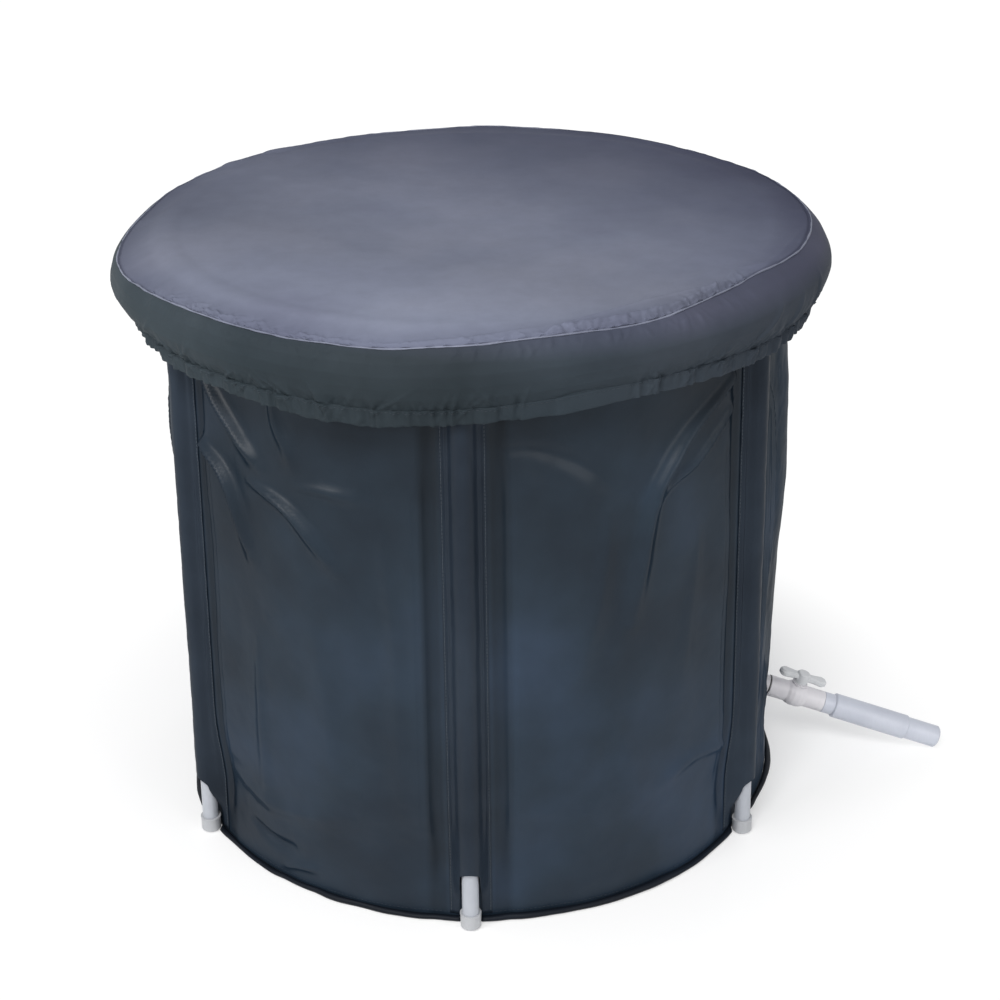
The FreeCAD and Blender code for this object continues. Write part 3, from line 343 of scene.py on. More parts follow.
class Nodes:
    """The node tree of a material or a world, with short calls to add to it."""

    def __init__(self, owner):
        owner.use_nodes = True
        self.tree = owner.node_tree

    def fill(self, node, sockets):
        """Give sockets of a node a value, or a link from another node's output."""
        for name, value in sockets.items():
            if isinstance(value, bpy.types.NodeSocket):
                self.tree.links.new(value, node.inputs[name])
            else:
                node.inputs[name].default_value = value

    def add(self, kind, sockets=None, **settings):
        node = self.tree.nodes.new(kind)
        for name, value in settings.items():
            setattr(node, name, value)
        self.fill(node, sockets or {})
        return node

    def place(self, kind="Object", scale=(1, 1, 1)):
        found = self.add("ShaderNodeTexCoord").outputs[kind]
        return self.add("ShaderNodeMapping", {"Vector": found, "Scale": scale}).outputs["Vector"]

    def noise(self, vector, scale, detail=2, roughness=0.5):
        sockets = {"Vector": vector, "Scale": scale, "Detail": detail, "Roughness": roughness}
        return self.add("ShaderNodeTexNoise", sockets).outputs["Fac"]

    def ramp(self, value, stops):
        """Colours by value. A stop's colour is three levels, or one for a grey."""
        node = self.add("ShaderNodeValToRGB", {"Fac": value})
        elements = node.color_ramp.elements
        for number, (place, colour) in enumerate(stops):
            element = elements[number] if number < 2 else elements.new(place)
            element.position = place
            element.color = (*colour, 1) if isinstance(colour, tuple) else (colour, colour, colour, 1)
        return node.outputs["Color"]

    def spread(self, value, start, finish, low=0, high=1, step="LINEAR"):
        """Stretch a value that runs from start to finish so that it runs from low to high."""
        sockets = {"Value": value, "From Min": start, "From Max": finish, "To Min": low, "To Max": high}
        return self.add("ShaderNodeMapRange", sockets, interpolation_type=step).outputs["Result"]

    def reckon(self, operation, *values, kind="ShaderNodeMath"):
        return self.add(kind, dict(enumerate(values)), operation=operation).outputs["Value"]

    def measure(self, operation, *values):
        return self.reckon(operation, *values, kind="ShaderNodeVectorMath")

    def multiply(self, share, first, second):
        """Multiply two colours. A mix node's colour sockets are 6 and 7 in, and 2 out."""
        sockets = {0: share, 6: first, 7: second}
        return self.add("ShaderNodeMix", sockets, data_type="RGBA", blend_type="MULTIPLY").outputs[2]

    def faded(self, way, start, finish, stops):
        """A tone that drifts along a direction over the object, in metres."""
        along = self.measure("DOT_PRODUCT", self.place(), way)
        return self.ramp(self.spread(along, start, finish), stops)

    def ringed(self, centre, start, finish, stops):
        """A tone that drifts outwards from a point in the level, in metres."""
        apart = self.measure("DISTANCE", self.place(scale=(1, 1, 0)), (*centre, 0))
        return self.ramp(self.spread(apart, start, finish), stops)

    def shade_by_pole(self, stops):
        """Painted shade by the angle from the nearest pole: place 0 at the pole, 0.5 half way to the next.
        """
        parts = self.add("ShaderNodeSeparateXYZ", {0: self.place()}).outputs
        turn = self.reckon("ARCTAN2", parts["X"], parts["Y"])
        sector = self.reckon("MULTIPLY", turn, POLES / (2 * math.pi))
        return self.ramp(self.reckon("PINGPONG", sector, 0.5), stops)

    def bump(self, height, strength, distance, under=None):
        node = self.add("ShaderNodeBump", {"Height": height, "Strength": strength, "Distance": distance})
        if under is not None:
            self.fill(node, {"Normal": under})
        return node.outputs["Normal"]

    def seen(self):
        """1 for rays that show a surface, straight, in a mirror or through glass."""
        rays = self.add("ShaderNodeLightPath").outputs
        seen = self.reckon("MAXIMUM", rays["Is Camera Ray"], rays["Is Glossy Ray"])
        return self.reckon("MAXIMUM", seen, rays["Is Transmission Ray"])


def colour(tone):
    """A colour written as it looks on a screen, 0 to 255, as the shader needs it."""
    levels = [level / 255 for level in tone]
    return tuple(lv / 12.92 if lv <= 0.04045 else ((lv + 0.055) / 1.055) ** 2.4 for lv in levels)


THREAD_PITCH = 1.1 * MM


def cloth_material(
    name, dark, middle, light, roughness, weave=0.25, gloss=0.12, edge_gloss=None,
    drifts=(), shade_rings=(), poles=(),
):
    """Woven cloth: patches of tone over the whole, and crossing threads in the bump. Its gloss may
    fade where it is seen edge on. Its drifts, shade rings and pole tone are painted light and
    shade."""
    material = bpy.data.materials.new(name)
    made = Nodes(material)
    place = made.place()
    small = made.noise(place, 38, 4, 0.6)
    stops = [(0.3, colour(dark)), (0.7, colour(light)), (0.5, colour(middle))]
    base = made.ramp(made.noise(place, 4.5, 3), stops)
    base = made.multiply(0.55, base, made.ramp(small, [(0.3, 0.82), (0.7, 1)]))
    # painted light and shade: tones that drift across the object, and darker rings round a point
    for drift in drifts:
        base = made.multiply(1.0, base, made.faded(*drift))
    for band in shade_rings:
        base = made.multiply(1.0, base, made.ringed(*band))
    # painted shade beside the pole pockets
    if poles:
        base = made.multiply(1.0, base, made.shade_by_pole(poles))
    scale = math.pi / (10 * THREAD_PITCH)
    sockets = {"Vector": made.place("UV"), "Scale": scale, "Distortion": 1.2, "Detail": 1}
    waves = [made.add("ShaderNodeTexWave", sockets, bands_direction=way) for way in ("X", "Y")]
    threads = made.reckon("MAXIMUM", *(wave.outputs["Fac"] for wave in waves))
    normal = made.bump(threads, weave, 0.00012)
    normal = made.bump(made.noise(place, 900, 2), weave * 0.6, 0.0002, normal)
    normal = made.bump(made.noise(place, 60, 3), 0.22, 0.0012, normal)
    if edge_gloss is not None:
        facing = made.add("ShaderNodeLayerWeight").outputs["Facing"]
        gloss = made.spread(facing, 0.30, 0.72, gloss, edge_gloss)
    made.fill(made.tree.nodes["Principled BSDF"], {
        "Base Color": base,
        "Roughness": made.spread(small, 0, 1, roughness - 0.06, roughness + 0.06),
        "Specular IOR Level": gloss,
        "Normal": normal,
    })
    return material


def plastic_material(name, middle, shade, roughness, coat=0.0):
    """Moulded or drawn plastic: faint clouds, fine scuffs and a soft shine."""
    material = bpy.data.materials.new(name)
    made = Nodes(material)
    scuff = made.noise(made.place(scale=(1, 1, 0.25)), 420, 3, 0.65)
    tone = made.ramp(made.noise(made.place(), 22, 3), [(0.3, colour(shade)), (0.65, colour(middle))])
    made.fill(made.tree.nodes["Principled BSDF"], {
        "Base Color": made.multiply(0.25, tone, made.ramp(scuff, [(0.35, 0.9), (0.6, 1)])),
        "Roughness": made.spread(scuff, 0, 1, roughness - 0.05, roughness + 0.1),
        "Coat Weight": coat,
        "Coat Roughness": 0.3,
        "Normal": made.bump(scuff, 0.2, 0.0004),
    })
    return material


# The wall's colour carries painted shade: darker high up under the cover's shade and lighter, a little
# bluer, low down; darker towards the left side; and darker in a band just beside each pole pocket.
wall_cloth = cloth_material(
    "wall_cloth", (27, 35, 44), (35, 46, 57), (44, 57, 73), 0.36, weave=0.06, gloss=0.15, edge_gloss=0.004,
    poles=[(0, 1.0), (0.066, 1.0), (0.078, 0.74), (0.112, 0.74), (0.135, 1.06), (0.19, 1.0)],
    drifts=[
        ((0.2, 0, -1), -0.62, -0.12, [(0, (0.74, 0.76, 0.76)), (0.5, 1), (1, (1.0, 1.02, 1.05))]),
        ((1, 0, 0), -0.40, -0.10, [(0, (0.72, 0.72, 0.74)), (0.7, 1)]),
    ],
)
sleeve_cloth = cloth_material(
    "sleeve_cloth", (29, 36, 45), (36, 44, 54), (43, 52, 63), 0.38, weave=0.06, gloss=0.10, edge_gloss=0.03,
)
welt_cloth = cloth_material("welt_cloth", (13, 17, 24), (16, 21, 29), (22, 28, 37), 0.5)
# The top's colour carries painted shade: darker towards the back right, darker at its left and right edges,
# and darker in a ring just inside the seam.
top_cloth = cloth_material(
    "top_cloth", (112, 116, 134), (122, 127, 144), (131, 135, 151), 0.75, gloss=0.04,
    drifts=[
        ((0.5, 0.87, 0), -0.30, 0.42, [
            (0, 0.96), (0.2, 0.74), (0.42, (0.80, 0.80, 0.81)), (0.66, (0.58, 0.58, 0.61)),
            (0.85, (0.43, 0.43, 0.47)),
        ]),
        ((1, 0, 0), -0.42, 0.42, [
            (0, (0.74, 0.74, 0.75)), (0.40, 1), (0.72, 1), (0.95, (0.84, 0.84, 0.87)),
        ]),
    ],
    shade_rings=[((-0.010, 0.008), 0.370, 0.412, [(0, 1), (1, (0.72, 0.72, 0.76))])],
)
piping_cloth = cloth_material("piping_cloth", (104, 108, 124), (118, 122, 138), (130, 134, 150), 0.5)
# The skirt's colour carries painted light and shade: darker across its middle at front and back, lighter
# towards its left and right sides. Its second drift makes the hem a little darker and the skirt much lighter
# up by the seam.
skirt_cloth = cloth_material(
    "skirt_cloth", (51, 59, 65), (58, 66, 72), (66, 73, 79), 0.66, gloss=0.06,
    drifts=[
        ((1, 0, 0), -0.42, 0.42, [
            (0, 1), (0.5, (0.52, 0.53, 0.54)), (0.62, (0.84, 0.84, 0.88)), (1, (0.94, 0.86, 0.95)),
        ]),
        ((0.03, 0, 1), 0.70, 0.75, [(0, (0.92, 0.95, 0.94)), (0.6, 1), (1, (1.7, 1.5, 1.7))]),
    ],
)
thread = plastic_material("thread", (44, 52, 62), (34, 41, 50), 0.6)
# The pockets' seam thread is lighter than their cloth: partly its own colour, partly a painted highlight
# along the sewn edges.
seam_thread_and_highlight = plastic_material("seam_thread_and_highlight", (70, 80, 88), (60, 70, 78), 0.5)
liner_film = cloth_material(
    "liner_film", (120, 134, 150), (132, 146, 161), (144, 157, 171), 0.35, weave=0.05,
)
ring_film = plastic_material("ring_film", (160, 170, 180), (142, 152, 163), 0.25, coat=0.2)
elastic_cloth = cloth_material("elastic_cloth", (196, 196, 192), (206, 206, 202), (214, 214, 210), 0.8)


# Wall: one padded cloth with bulges between the poles and the tension folds of a filled tub

# How far each panel of the wall stands out from its straight cone, in millimetres by height.
# A panel's number counts round from the front pole.
BULGE_HEIGHTS = [0.0, 0.03, 0.10, 0.17, 0.25, 0.34, 0.42, 0.60, 0.667]
PANEL_BULGES = [
    [1, 3, 5, 6, 7, 7, 7, 6, 5],
    [9, 9, 5, 7, 11, 15, 19, 19, 17],
    [3, 5, 6, 7, 9, 9, 9, 8, 7],
    [2, 4, 6, 7, 8, 8, 8, 7, 6],
    [0, 0, 0, 1, 2, 2, 2, 3, 3],
    [0, 2, 6, 8, 8, 8, 7, 6, 5],
]
FLAT_PANEL = 4

# Tension folds: path of angles and heights, half width and rise in millimetres
CREASES = [
    ([(-54, 0.66), (-49, 0.62), (-44.7, 0.593), (-37.9, 0.557)], 7.5, 13),
    ([(-57, 0.57), (-51, 0.552), (-46.2, 0.531), (-43.1, 0.482), (-41.2, 0.439)], 7, 14),
    ([(-40.5, 0.536), (-32.2, 0.522), (-27, 0.489), (-22.8, 0.454)], 7.5, 10),
    ([(-35, 0.65), (-33.9, 0.617), (-31.3, 0.586), (-30.6, 0.569)], 7, 6.8),
    ([(-30, 0.546), (-24, 0.549), (-17, 0.545)], 7, 4.1),
    ([(-46, 0.06), (-40, 0.045), (-34, 0.05)], 8, -8.1),
    ([(-38, 0.016), (-34, 0.03), (-29, 0.035)], 6, 6.8),
    ([(-52, 0.12), (-38, 0.10), (-20, 0.13)], 14, 4.7),
    ([(-40.5, 0.33), (-40.5, 0.10)], 9, 4.1),
    ([(-27, 0.36), (-25, 0.26), (-26, 0.14)], 22, 4.1),
    ([(-14, 0.50), (-12, 0.36), (-12, 0.15)], 12, 3.4),
    ([
        (57.5, 0.655), (49, 0.62), (41.3, 0.591), (36.5, 0.557),
        (33.5, 0.532), (31.4, 0.465), (29.3, 0.378),
    ], 9, 13.5),
    ([(56, 0.615), (49, 0.575), (43.2, 0.548), (38.2, 0.541), (34.2, 0.522)], 4, 6.1),
    ([(4.8, 0.613), (13.3, 0.609), (21.5, 0.579), (26.2, 0.547), (29.7, 0.534)], 10, -4.0),
    ([(25, 0.52), (24, 0.44), (21, 0.36), (18, 0.30)], 12, 4.1),
    ([(56.9, 0.144), (49, 0.158), (43, 0.163), (36.8, 0.145)], 9, 5.4),
    ([(22, 0.30), (27, 0.24), (33, 0.12)], 16, 4.7),
    ([(45, 0.47), (42, 0.36), (40, 0.25)], 14, 3.4),
    ([(66, 0.62), (71, 0.55), (73, 0.45), (73, 0.33)], 5, 4),
    ([(70.4, 0.486), (69.4, 0.35), (68.7, 0.221)], 4, 3),
    ([(74, 0.20), (77, 0.13), (79, 0.03)], 6, 4),
    ([(100, 0.62), (96, 0.5), (93, 0.36), (92, 0.22)], 7, 6.8),
    ([(110, 0.6), (104, 0.48), (101, 0.36)], 6, 5.4),
    ([(127, 0.63), (137, 0.57), (144, 0.49), (147, 0.36)], 7, 10.8),
    ([(171, 0.61), (162, 0.58), (155, 0.52), (151, 0.42)], 7, 9.5),
    ([(-172, 0.62), (-162, 0.585), (-155, 0.53), (-151, 0.42)], 7, 10.8),
    ([(-126, 0.60), (-134, 0.57), (-141, 0.5)], 6, 8.1),
    ([(-113, 0.63), (-104, 0.57), (-98, 0.49), (-95, 0.36)], 7, 10.8),
    ([(-67, 0.62), (-75, 0.58), (-82, 0.5), (-85, 0.4)], 7, 9.5),
    ([(-110, 0.1), (-95, 0.13), (-75, 0.1)], 12, 5.4),
    ([(130, 0.12), (150, 0.15), (168, 0.1)], 12, 5.4),
]

# Rise in millimetres, cells round and up, and seed of the wall's noise
WALL_NOISE = [(1.6, 26, 5, 11), (0.7, 70, 12, 12), (0.25, 190, 60, 13)]
DRAIN_ANGLE = 90
DRAIN_HEIGHT = 98 * MM


def wall_stand_out(angle, height):
    """How far the outer cloth stands out from the straight cone."""
    sector = np.mod(angle, 360) / SECTOR
    number = np.floor(sector).astype(int) % POLES
    between = np.mod(sector, 1)
    gap = np.minimum(between, 1 - between) * SECTOR
    beside_flat = (number == FLAT_PANEL) & (between > 0.5)
    belly = np.sin(np.pi * between) ** 2
    out = np.zeros(angle.shape)
    for panel, sizes in enumerate(PANEL_BULGES):
        out += np.where(number == panel, np.interp(height, BULGE_HEIGHTS, sizes) * MM * belly, 0)
    foam_edge = smooth(6.4, 7.6, gap) * smooth(0.09, 0.15, height) * (1 - smooth(0.55, 0.60, height))
    out += np.where(number == FLAT_PANEL, 0.5, 3.2) * MM * foam_edge
    flank = smooth(1.8, 3.2, gap) * (1 - smooth(4.5, 16, gap)) * smooth(0.075, 0.19, height)
    out += 8.5 * MM * flank * np.where(beside_flat, 0.25, 1)
    out -= np.where(beside_flat, 1.0, 5.0) * MM * bell(gap - 5.6, 1.1) * smooth(0.03, 0.08, height)
    foam_line = bell(gap - 8.0, 0.4) * smooth(0.08, 0.14, height) * (1 - smooth(0.54, 0.57, height))
    out -= np.where(number == FLAT_PANEL, 0, 1.6) * MM * foam_line
    away = smooth(4.6, 7.5, gap)
    for path, width, rise in CREASES:
        out += crease(angle, height, path, width, rise) * away
    around, tall = (angle + 180) / 360, height / wall_top
    for rise, cells_around, cells_up, seed in WALL_NOISE:
        out += rise * MM * noise(around, tall, cells_around, cells_up, seed) * away
    off_drain = (turn_gap(angle, DRAIN_ANGLE) / 6.5) ** 2 + ((height - DRAIN_HEIGHT) / 0.045) ** 2
    return out * (1 - np.exp(-off_drain))


def make_wall():
    """One closed padded cloth: its outer side folds, and its inner side lies against the liner."""
    angle, share, _ = around_grid(840, 190)
    outer = wall_radius(share * wall_top) + wall_stand_out(angle, share * wall_top)
    low = wall_low + 0.2 * MM
    height = low + share * (wall_top - low)
    padding = foot_radius - inner_foot - liner_thick - 0.3 * MM
    inner = np.maximum(outer, wall_radius(height)) - padding
    radius = np.concatenate([outer, inner[::-3]])
    angle = np.concatenate([angle, angle[::-3]])
    height = np.concatenate([height, height[::-3]])
    piece = turned_grid("wall_padded_cloth", angle, radius, height, closed=True)
    foam = [f"wall_foam_{panel}" for panel in range(1, POLES + 1)]
    dress(piece, wall_cloth, "tub", ("wall_skin", *foam))


def make_liner():
    """The watertight inner tub: wall, a rounded corner and the floor in one film."""
    angle, share, around = around_grid(360, 96)
    corner = 0.03
    stretch = [wall_top - floor_top - corner, corner * math.pi / 2, inner_foot - corner]
    run = share * sum(stretch)
    down = np.clip(run, 0, stretch[0])
    bend = np.clip(run - stretch[0], 0, stretch[1]) / corner
    inward = np.clip(run - stretch[0] - stretch[1], 0, stretch[2])
    height = wall_top - down - corner * np.sin(bend)
    inner = inner_foot + (inner_head - inner_foot) * height / wall_top
    folds = np.abs(noise(around, share, 40, 9, 21)) * 1.6 + np.abs(noise(around, share, 110, 30, 22)) * 0.6
    on_floor = smooth(0.01, 0.06, inward)
    radius = inner - corner * (1 - np.cos(bend)) - inward - folds * MM * (1 - on_floor)
    height = height + folds * MM * on_floor * smooth(0, 0.05, radius)
    piece = turned_grid("liner_film_tub", angle, np.clip(radius, 0, None), height)
    weld_points(piece)
    thicken(piece, liner_thick * 0.9)
    dress(piece, liner_film, "tub", ("wall_liner", "floor_liner"))


def make_floor_pad():
    """The padded floor: closed disc whose edge meets the foot of the wall."""
    angle, share, around = around_grid(240, 40)
    thick = heights("floor_foam")[1]
    outer = foot_radius - 0.2 * MM + wall_stand_out(angle, 0 * angle)
    inner = inner_foot - 0.6 * MM
    run = share * 4
    under = np.clip(run, 0, 1)
    edge = np.clip(run - 1, 0, 1)
    top = np.clip(run - 2, 0, 2) / 2
    radius = outer * under - (outer - inner) * smooth(0.2, 1, edge)
    radius = np.where(run > 2, inner * (1 - top), radius)
    dimple = np.abs(noise(around, share, 30, 12, 31)) * 0.4 * MM
    height = np.where(run <= 1, 0, edge * thick)
    height = np.where(run > 2, thick - dimple * smooth(0, 0.1, top), height)
    piece = turned_grid("floor_pad", angle, np.clip(radius, 0, None), height, level=True)
    dress(piece, welt_cloth, "tub", ("floor_skin", "floor_foam"))


def make_welt():
    """The bound edge round the foot: a soft roll that waves a little and dips in at each pole."""
    angle, share, _ = around_grid(720, 14)
    turn = share * 2 * math.pi
    clear = cap_half + 0.35 * MM
    across = np.radians(pole_gap(angle)) * foot_radius
    limit = np.where(across < clear, pole_radius - np.sqrt(np.clip(clear ** 2 - across ** 2, 0, None)), 1)
    inner = foot_radius + 0.15 * MM + wall_stand_out(angle, 0 * angle + welt_high / 2)
    wave = 1.4 * MM * noise_round(angle, 70, 41) + 2.4 * MM * noise_round(angle, 22, 42)
    outer = np.minimum(inner + (welt_outer - foot_radius) + 2.5 * MM + wave, limit)
    inner = np.minimum(inner, outer - 0.4 * MM)
    half_tall = (welt_high - welt_low) / 2 * (0.8 + 0.2 * noise_round(angle, 40, 43))
    radius = (inner + outer) / 2 + (outer - inner) / 2 * np.cos(turn)
    height = welt_low + 0.1 * MM + half_tall * (1 + np.sin(turn))
    piece = turned_grid("welt_roll", angle, radius, height)
    dress(piece, welt_cloth, "tub", ("base_welt",))
    line_height = welt_high + 1.5 * MM
    for number in range(POLES):
        line_angle = np.arange(number * SECTOR, (number + 1) * SECTOR - 0.06, 0.12)
        line_angle = line_angle[pole_gap(line_angle) > 2.6]
        tall = line_height + 0 * line_angle
        line = on_turn(line_angle, wall_radius(tall) + wall_stand_out(line_angle, tall), tall)
        stitches(f"welt_stitch_{number + 1}", line, 0.1 * MM, "tub")


# Pole pockets: places across the pocket from its middle, and heights of the window

SEAM_AT = 21.5 * MM
STITCH_AT = 23.4 * MM
EDGE_AT = 25.5 * MM
SEAM_LIFT = 1.1 * MM
CAP_PLAY = 1.15 * MM
WINDOW_TOP = 82 * MM
WINDOW_HALF = 12.6 * MM
WINDOW_SHOULDER = WINDOW_TOP - WINDOW_HALF * 0.85

# Rise in millimetres, cells round and up, and first seed of the pockets' wrinkles
SLEEVE_NOISE = [(1.3, 8, 6, 60), (0.6, 14, 22, 160), (0.25, 30, 90, 260)]


def on_wall(across):
    """How far a pocket that lies flat on the wall stands out, across from its middle."""
    return SEAM_LIFT - across ** 2 / (2 * foot_radius)


def sleeve_section():
    """The pocket's section: places across and outwards from the wall's cone, and the length of
    cloth from the middle to each."""
    tight = cap_half + CAP_PLAY
    axis_out = pole_radius - foot_radius
    seam_out = on_wall(SEAM_AT)
    seam_far = math.hypot(SEAM_AT, seam_out - axis_out)
    touch = math.atan2(seam_out - axis_out, SEAM_AT) + math.acos(tight / seam_far)
    touch_across = tight * math.cos(touch)
    touch_out = axis_out + tight * math.sin(touch)
    across = np.linspace(-EDGE_AT, EDGE_AT, 571)
    side = np.abs(across)
    round_part = axis_out + np.sqrt(np.clip(tight ** 2 - across ** 2, 0, None))
    slant = touch_out + (seam_out - touch_out) * (side - touch_across) / (SEAM_AT - touch_across)
    out = np.where(side < touch_across, round_part, np.where(side < SEAM_AT, slant, on_wall(across)))
    kernel = np.exp(-np.linspace(-2, 2, 41) ** 2)
    out = np.convolve(np.pad(out, 20, mode="edge"), kernel / kernel.sum(), mode="valid")
    out -= 0.5 * MM * bell(side - STITCH_AT, 0.9 * MM)
    out += 0.35 * MM * bell(side - STITCH_AT - 1.5 * MM, 0.8 * MM)
    run = np.concatenate([[0], np.cumsum(np.hypot(np.diff(across), np.diff(out)))])
    return across, out, run - run[-1] / 2


SLEEVE_ACROSS, SLEEVE_OUT, SLEEVE_RUN = sleeve_section()
SLEEVE_HALF_WIDTH = SLEEVE_RUN[-1]


def sleeve_points(number, share, height):
    """Points of a pole's pocket, by a share of its width from -1 to 1 and by height."""
    pole_angle = SECTOR * (number - 1)
    run = share * SLEEVE_HALF_WIDTH
    across = np.interp(run, SLEEVE_RUN, SLEEVE_ACROSS)
    out = np.interp(run, SLEEVE_RUN, SLEEVE_OUT)
    side = np.abs(across)
    stand_out = wall_stand_out(pole_angle + np.degrees(across / foot_radius), height)
    out = out + stand_out * smooth(13 * MM, 21 * MM, side)
    lying = smooth(cap_top + 3 * MM, WINDOW_TOP - 5 * MM, height)
    flat = on_wall(across)
    out = np.where(height < WINDOW_TOP, flat + (out - flat) * lying, out)
    free = 1 - smooth(18 * MM, 22 * MM, side)
    around = (share + 1) / 4
    tall = height / wall_top
    for rise, cells_around, cells_up, seed in SLEEVE_NOISE:
        out = out + rise * MM * np.abs(noise(around, tall, cells_around, cells_up, seed + number)) * free
    out = out + 0.5 * MM * np.abs(noise(around, tall, 4, 40, 360 + number)) * (1 - free)
    turn = math.radians(pole_angle)
    outward = np.array([math.sin(turn), -math.cos(turn), 0])
    along_wall = np.array([math.cos(turn), math.sin(turn), 0])
    upward = np.array([0, 0, 1])
    radius = wall_radius(height) + out
    return across[..., None] * along_wall + radius[..., None] * outward + height[..., None] * upward


def make_sleeve(number):
    """A strip of cloth over the pole, sewn down along both edges, with an arched window below."""
    columns = 67
    low = sleeve_low + 0.3 * MM
    below = low + (WINDOW_TOP - low) * np.sin(np.linspace(0, math.pi / 2, 26))
    parts = [np.meshgrid(np.linspace(-1, 1, columns), np.linspace(WINDOW_TOP, sleeve_high - 0.5 * MM, 150))]
    arch = np.sqrt(np.clip(1 - ((below - WINDOW_SHOULDER) / (WINDOW_TOP - WINDOW_SHOULDER)) ** 2, 0, 1))
    half = np.where(below < WINDOW_SHOULDER, WINDOW_HALF, WINDOW_HALF * arch)
    inner = np.interp(half, SLEEVE_ACROSS, SLEEVE_RUN) / SLEEVE_HALF_WIDTH
    steps = np.linspace(1, 0, (columns + 1) // 2)
    share = inner[:, None] + (1 - inner[:, None]) * steps
    height = below[:, None] + 0 * share
    parts += [(-share, height), (share[:, ::-1], height)]
    pieces = []
    for share, height in parts:
        measures = np.stack([share * SLEEVE_HALF_WIDTH + 0.1 * number, height], axis=-1)
        pieces.append(sheet_mesh(f"sleeve_part_{number}", sleeve_points(number, share, height), measures))
    piece = pieces[0]
    with bpy.context.temp_override(active_object=piece, selected_editable_objects=pieces):
        bpy.ops.object.join()
    weld_points(piece)
    thicken(piece, CLOTH_THICK)
    piece.name = f"sleeve_cloth_{number}"
    dress(piece, sleeve_cloth, "tub", (f"pole_sleeve_{number}",))
    for side in (-1, 1):
        share = side * np.interp(STITCH_AT, SLEEVE_ACROSS, SLEEVE_RUN) / SLEEVE_HALF_WIDTH
        height = np.arange(sleeve_low + 4 * MM, sleeve_high - 4 * MM, 1 * MM)
        line = sleeve_points(number, share + 0 * height, height)
        stitches(
            f"sleeve_stitch_{number}_{side + 2}", line, 0.3 * MM, "tub",
            seam_thread_and_highlight, pitch=4.6 * MM, length=3.9 * MM, thick=0.6 * MM,
        )


# Share of a stitch's length and of its thickness at each ring of points along it
STITCH_RINGS = [(-0.5, 0.4), (-0.28, 1), (0.28, 1), (0.5, 0.4)]
STITCH_SIDES = 6


def stitches(name, line, lift, body, yarn=thread, pitch=5.2 * MM, length=3.6 * MM, thick=0.42 * MM):
    """A row of thread stitches along a line of points, each a small tapered grain."""
    run = np.concatenate([[0], np.cumsum(np.linalg.norm(np.diff(line, axis=0), axis=1))])
    starts = np.arange(pitch / 2, run[-1] - pitch / 2, pitch)

    def on_line(places):
        return np.stack([np.interp(places, run, line[:, axis]) for axis in range(3)], axis=-1)

    def unit(vectors):
        return vectors / np.linalg.norm(vectors, axis=1, keepdims=True)

    middle = on_line(starts)
    along = unit(on_line(starts + length / 2) - middle)
    out = unit(middle * np.array([1, 1, 0]))
    out = unit(out - (out * along).sum(axis=1, keepdims=True) * along)
    across = np.cross(along, out)
    middle = middle + out * lift
    turn = np.arange(STITCH_SIDES)[None, :, None] / STITCH_SIDES * 2 * math.pi
    points = []
    for share, width in STITCH_RINGS:
        points.append(
            middle[:, None]
            + along[:, None] * (share * length)
            + out[:, None] * (np.sin(turn) * thick * width / 2 - (1 - width) * thick)
            + across[:, None] * (np.cos(turn) * thick * width / 2)
        )
    last = (len(STITCH_RINGS) - 1) * STITCH_SIDES
    shapes = []
    for ring in range(0, last, STITCH_SIDES):
        for side in range(STITCH_SIDES):
            following = (side + 1) % STITCH_SIDES
            upper = ring + STITCH_SIDES
            shapes.append([ring + side, ring + following, upper + following, upper + side])
    shapes += [list(range(STITCH_SIDES - 1, -1, -1)), list(range(last, last + STITCH_SIDES))]
    firsts = np.arange(len(starts)) * STITCH_SIDES * len(STITCH_RINGS)
    faces = [row for shape in shapes for row in (firsts[:, None] + np.array(shape)).tolist()]
    mesh = bpy.data.meshes.new(name)
    mesh.from_pydata(np.stack(points, axis=1).reshape(-1, 3).tolist(), [], faces)
    mesh.shade_smooth()
    return dress(link_mesh(mesh), yarn, body)


# Rim: the cloth cuff and the air ring in it


def make_ring(name, tube, material, node, folds, seed):
    angle, share, around = around_grid(480, 72)
    turn = tube_turn(share)
    pucker = np.abs(noise(around, share, 96, 5, seed)) * bell(np.cos(turn) + 1, 0.5)
    size = tube - folds * MM * (np.abs(noise(around, share, 60, 8, seed + 1)) + 1.4 * pucker)
    radius = ring_radius + size * np.cos(turn)
    piece = turned_grid(name, angle, radius, ring_height + size * np.sin(turn), closed=True)
    dress(piece, material, "tub", (node,))


# Cover: top panel, piping, bellied skirt, gathered hem and the elastic in it

COVER_COLUMNS = 1280

# How far the seam is drawn in and hangs down, and the hem hangs down, in millimetres by angle
SEAM_IN = [
    (-178, 2), (-164, 10), (-143, 10), (-117, 7), (-102, 2), (-90, -7), (-80, -13), (-70, -11), (-62, -5),
    (-50, 0), (-35, 0), (-10, 0), (0, 1), (10, 6), (18, 10), (28, 9), (36, 16), (43, 25), (56, 30), (63, 22),
    (70, 13), (81, 7), (90, 3), (110, 5), (132, 10), (156, 5),
]
SEAM_DROP = [
    (-178, 1), (-130, 1), (-105, 6), (-90, 18), (-80, 24), (-70, 20), (-60, 14), (-50, 11), (-38, 9),
    (-20, 9), (-10, 9), (-4, 5), (3, 2), (10, 0), (60, -1), (90, 0), (130, 1),
]
HEM_DROP = [
    (-178, 1), (-140, 0), (-120, 4), (-104, 8), (-90, 7), (-75, 3), (-60, 2), (-54, 3), (-33, 4), (-12, 9),
    (-4, 6), (8, 0), (22, -8), (41, -8), (64, 0), (84, 4), (100, 5), (140, -3),
]

# How far the skirt's belly stands out further than the plain turn, because the cover lies a
# little off centre
SKIRT_OUT = [
    (-150, 0), (-115, 3), (-95, 8), (-80, 10), (-62, 7), (-40, 1), (0, 0), (60, 0), (84, 8), (105, 6),
    (150, 0),
]

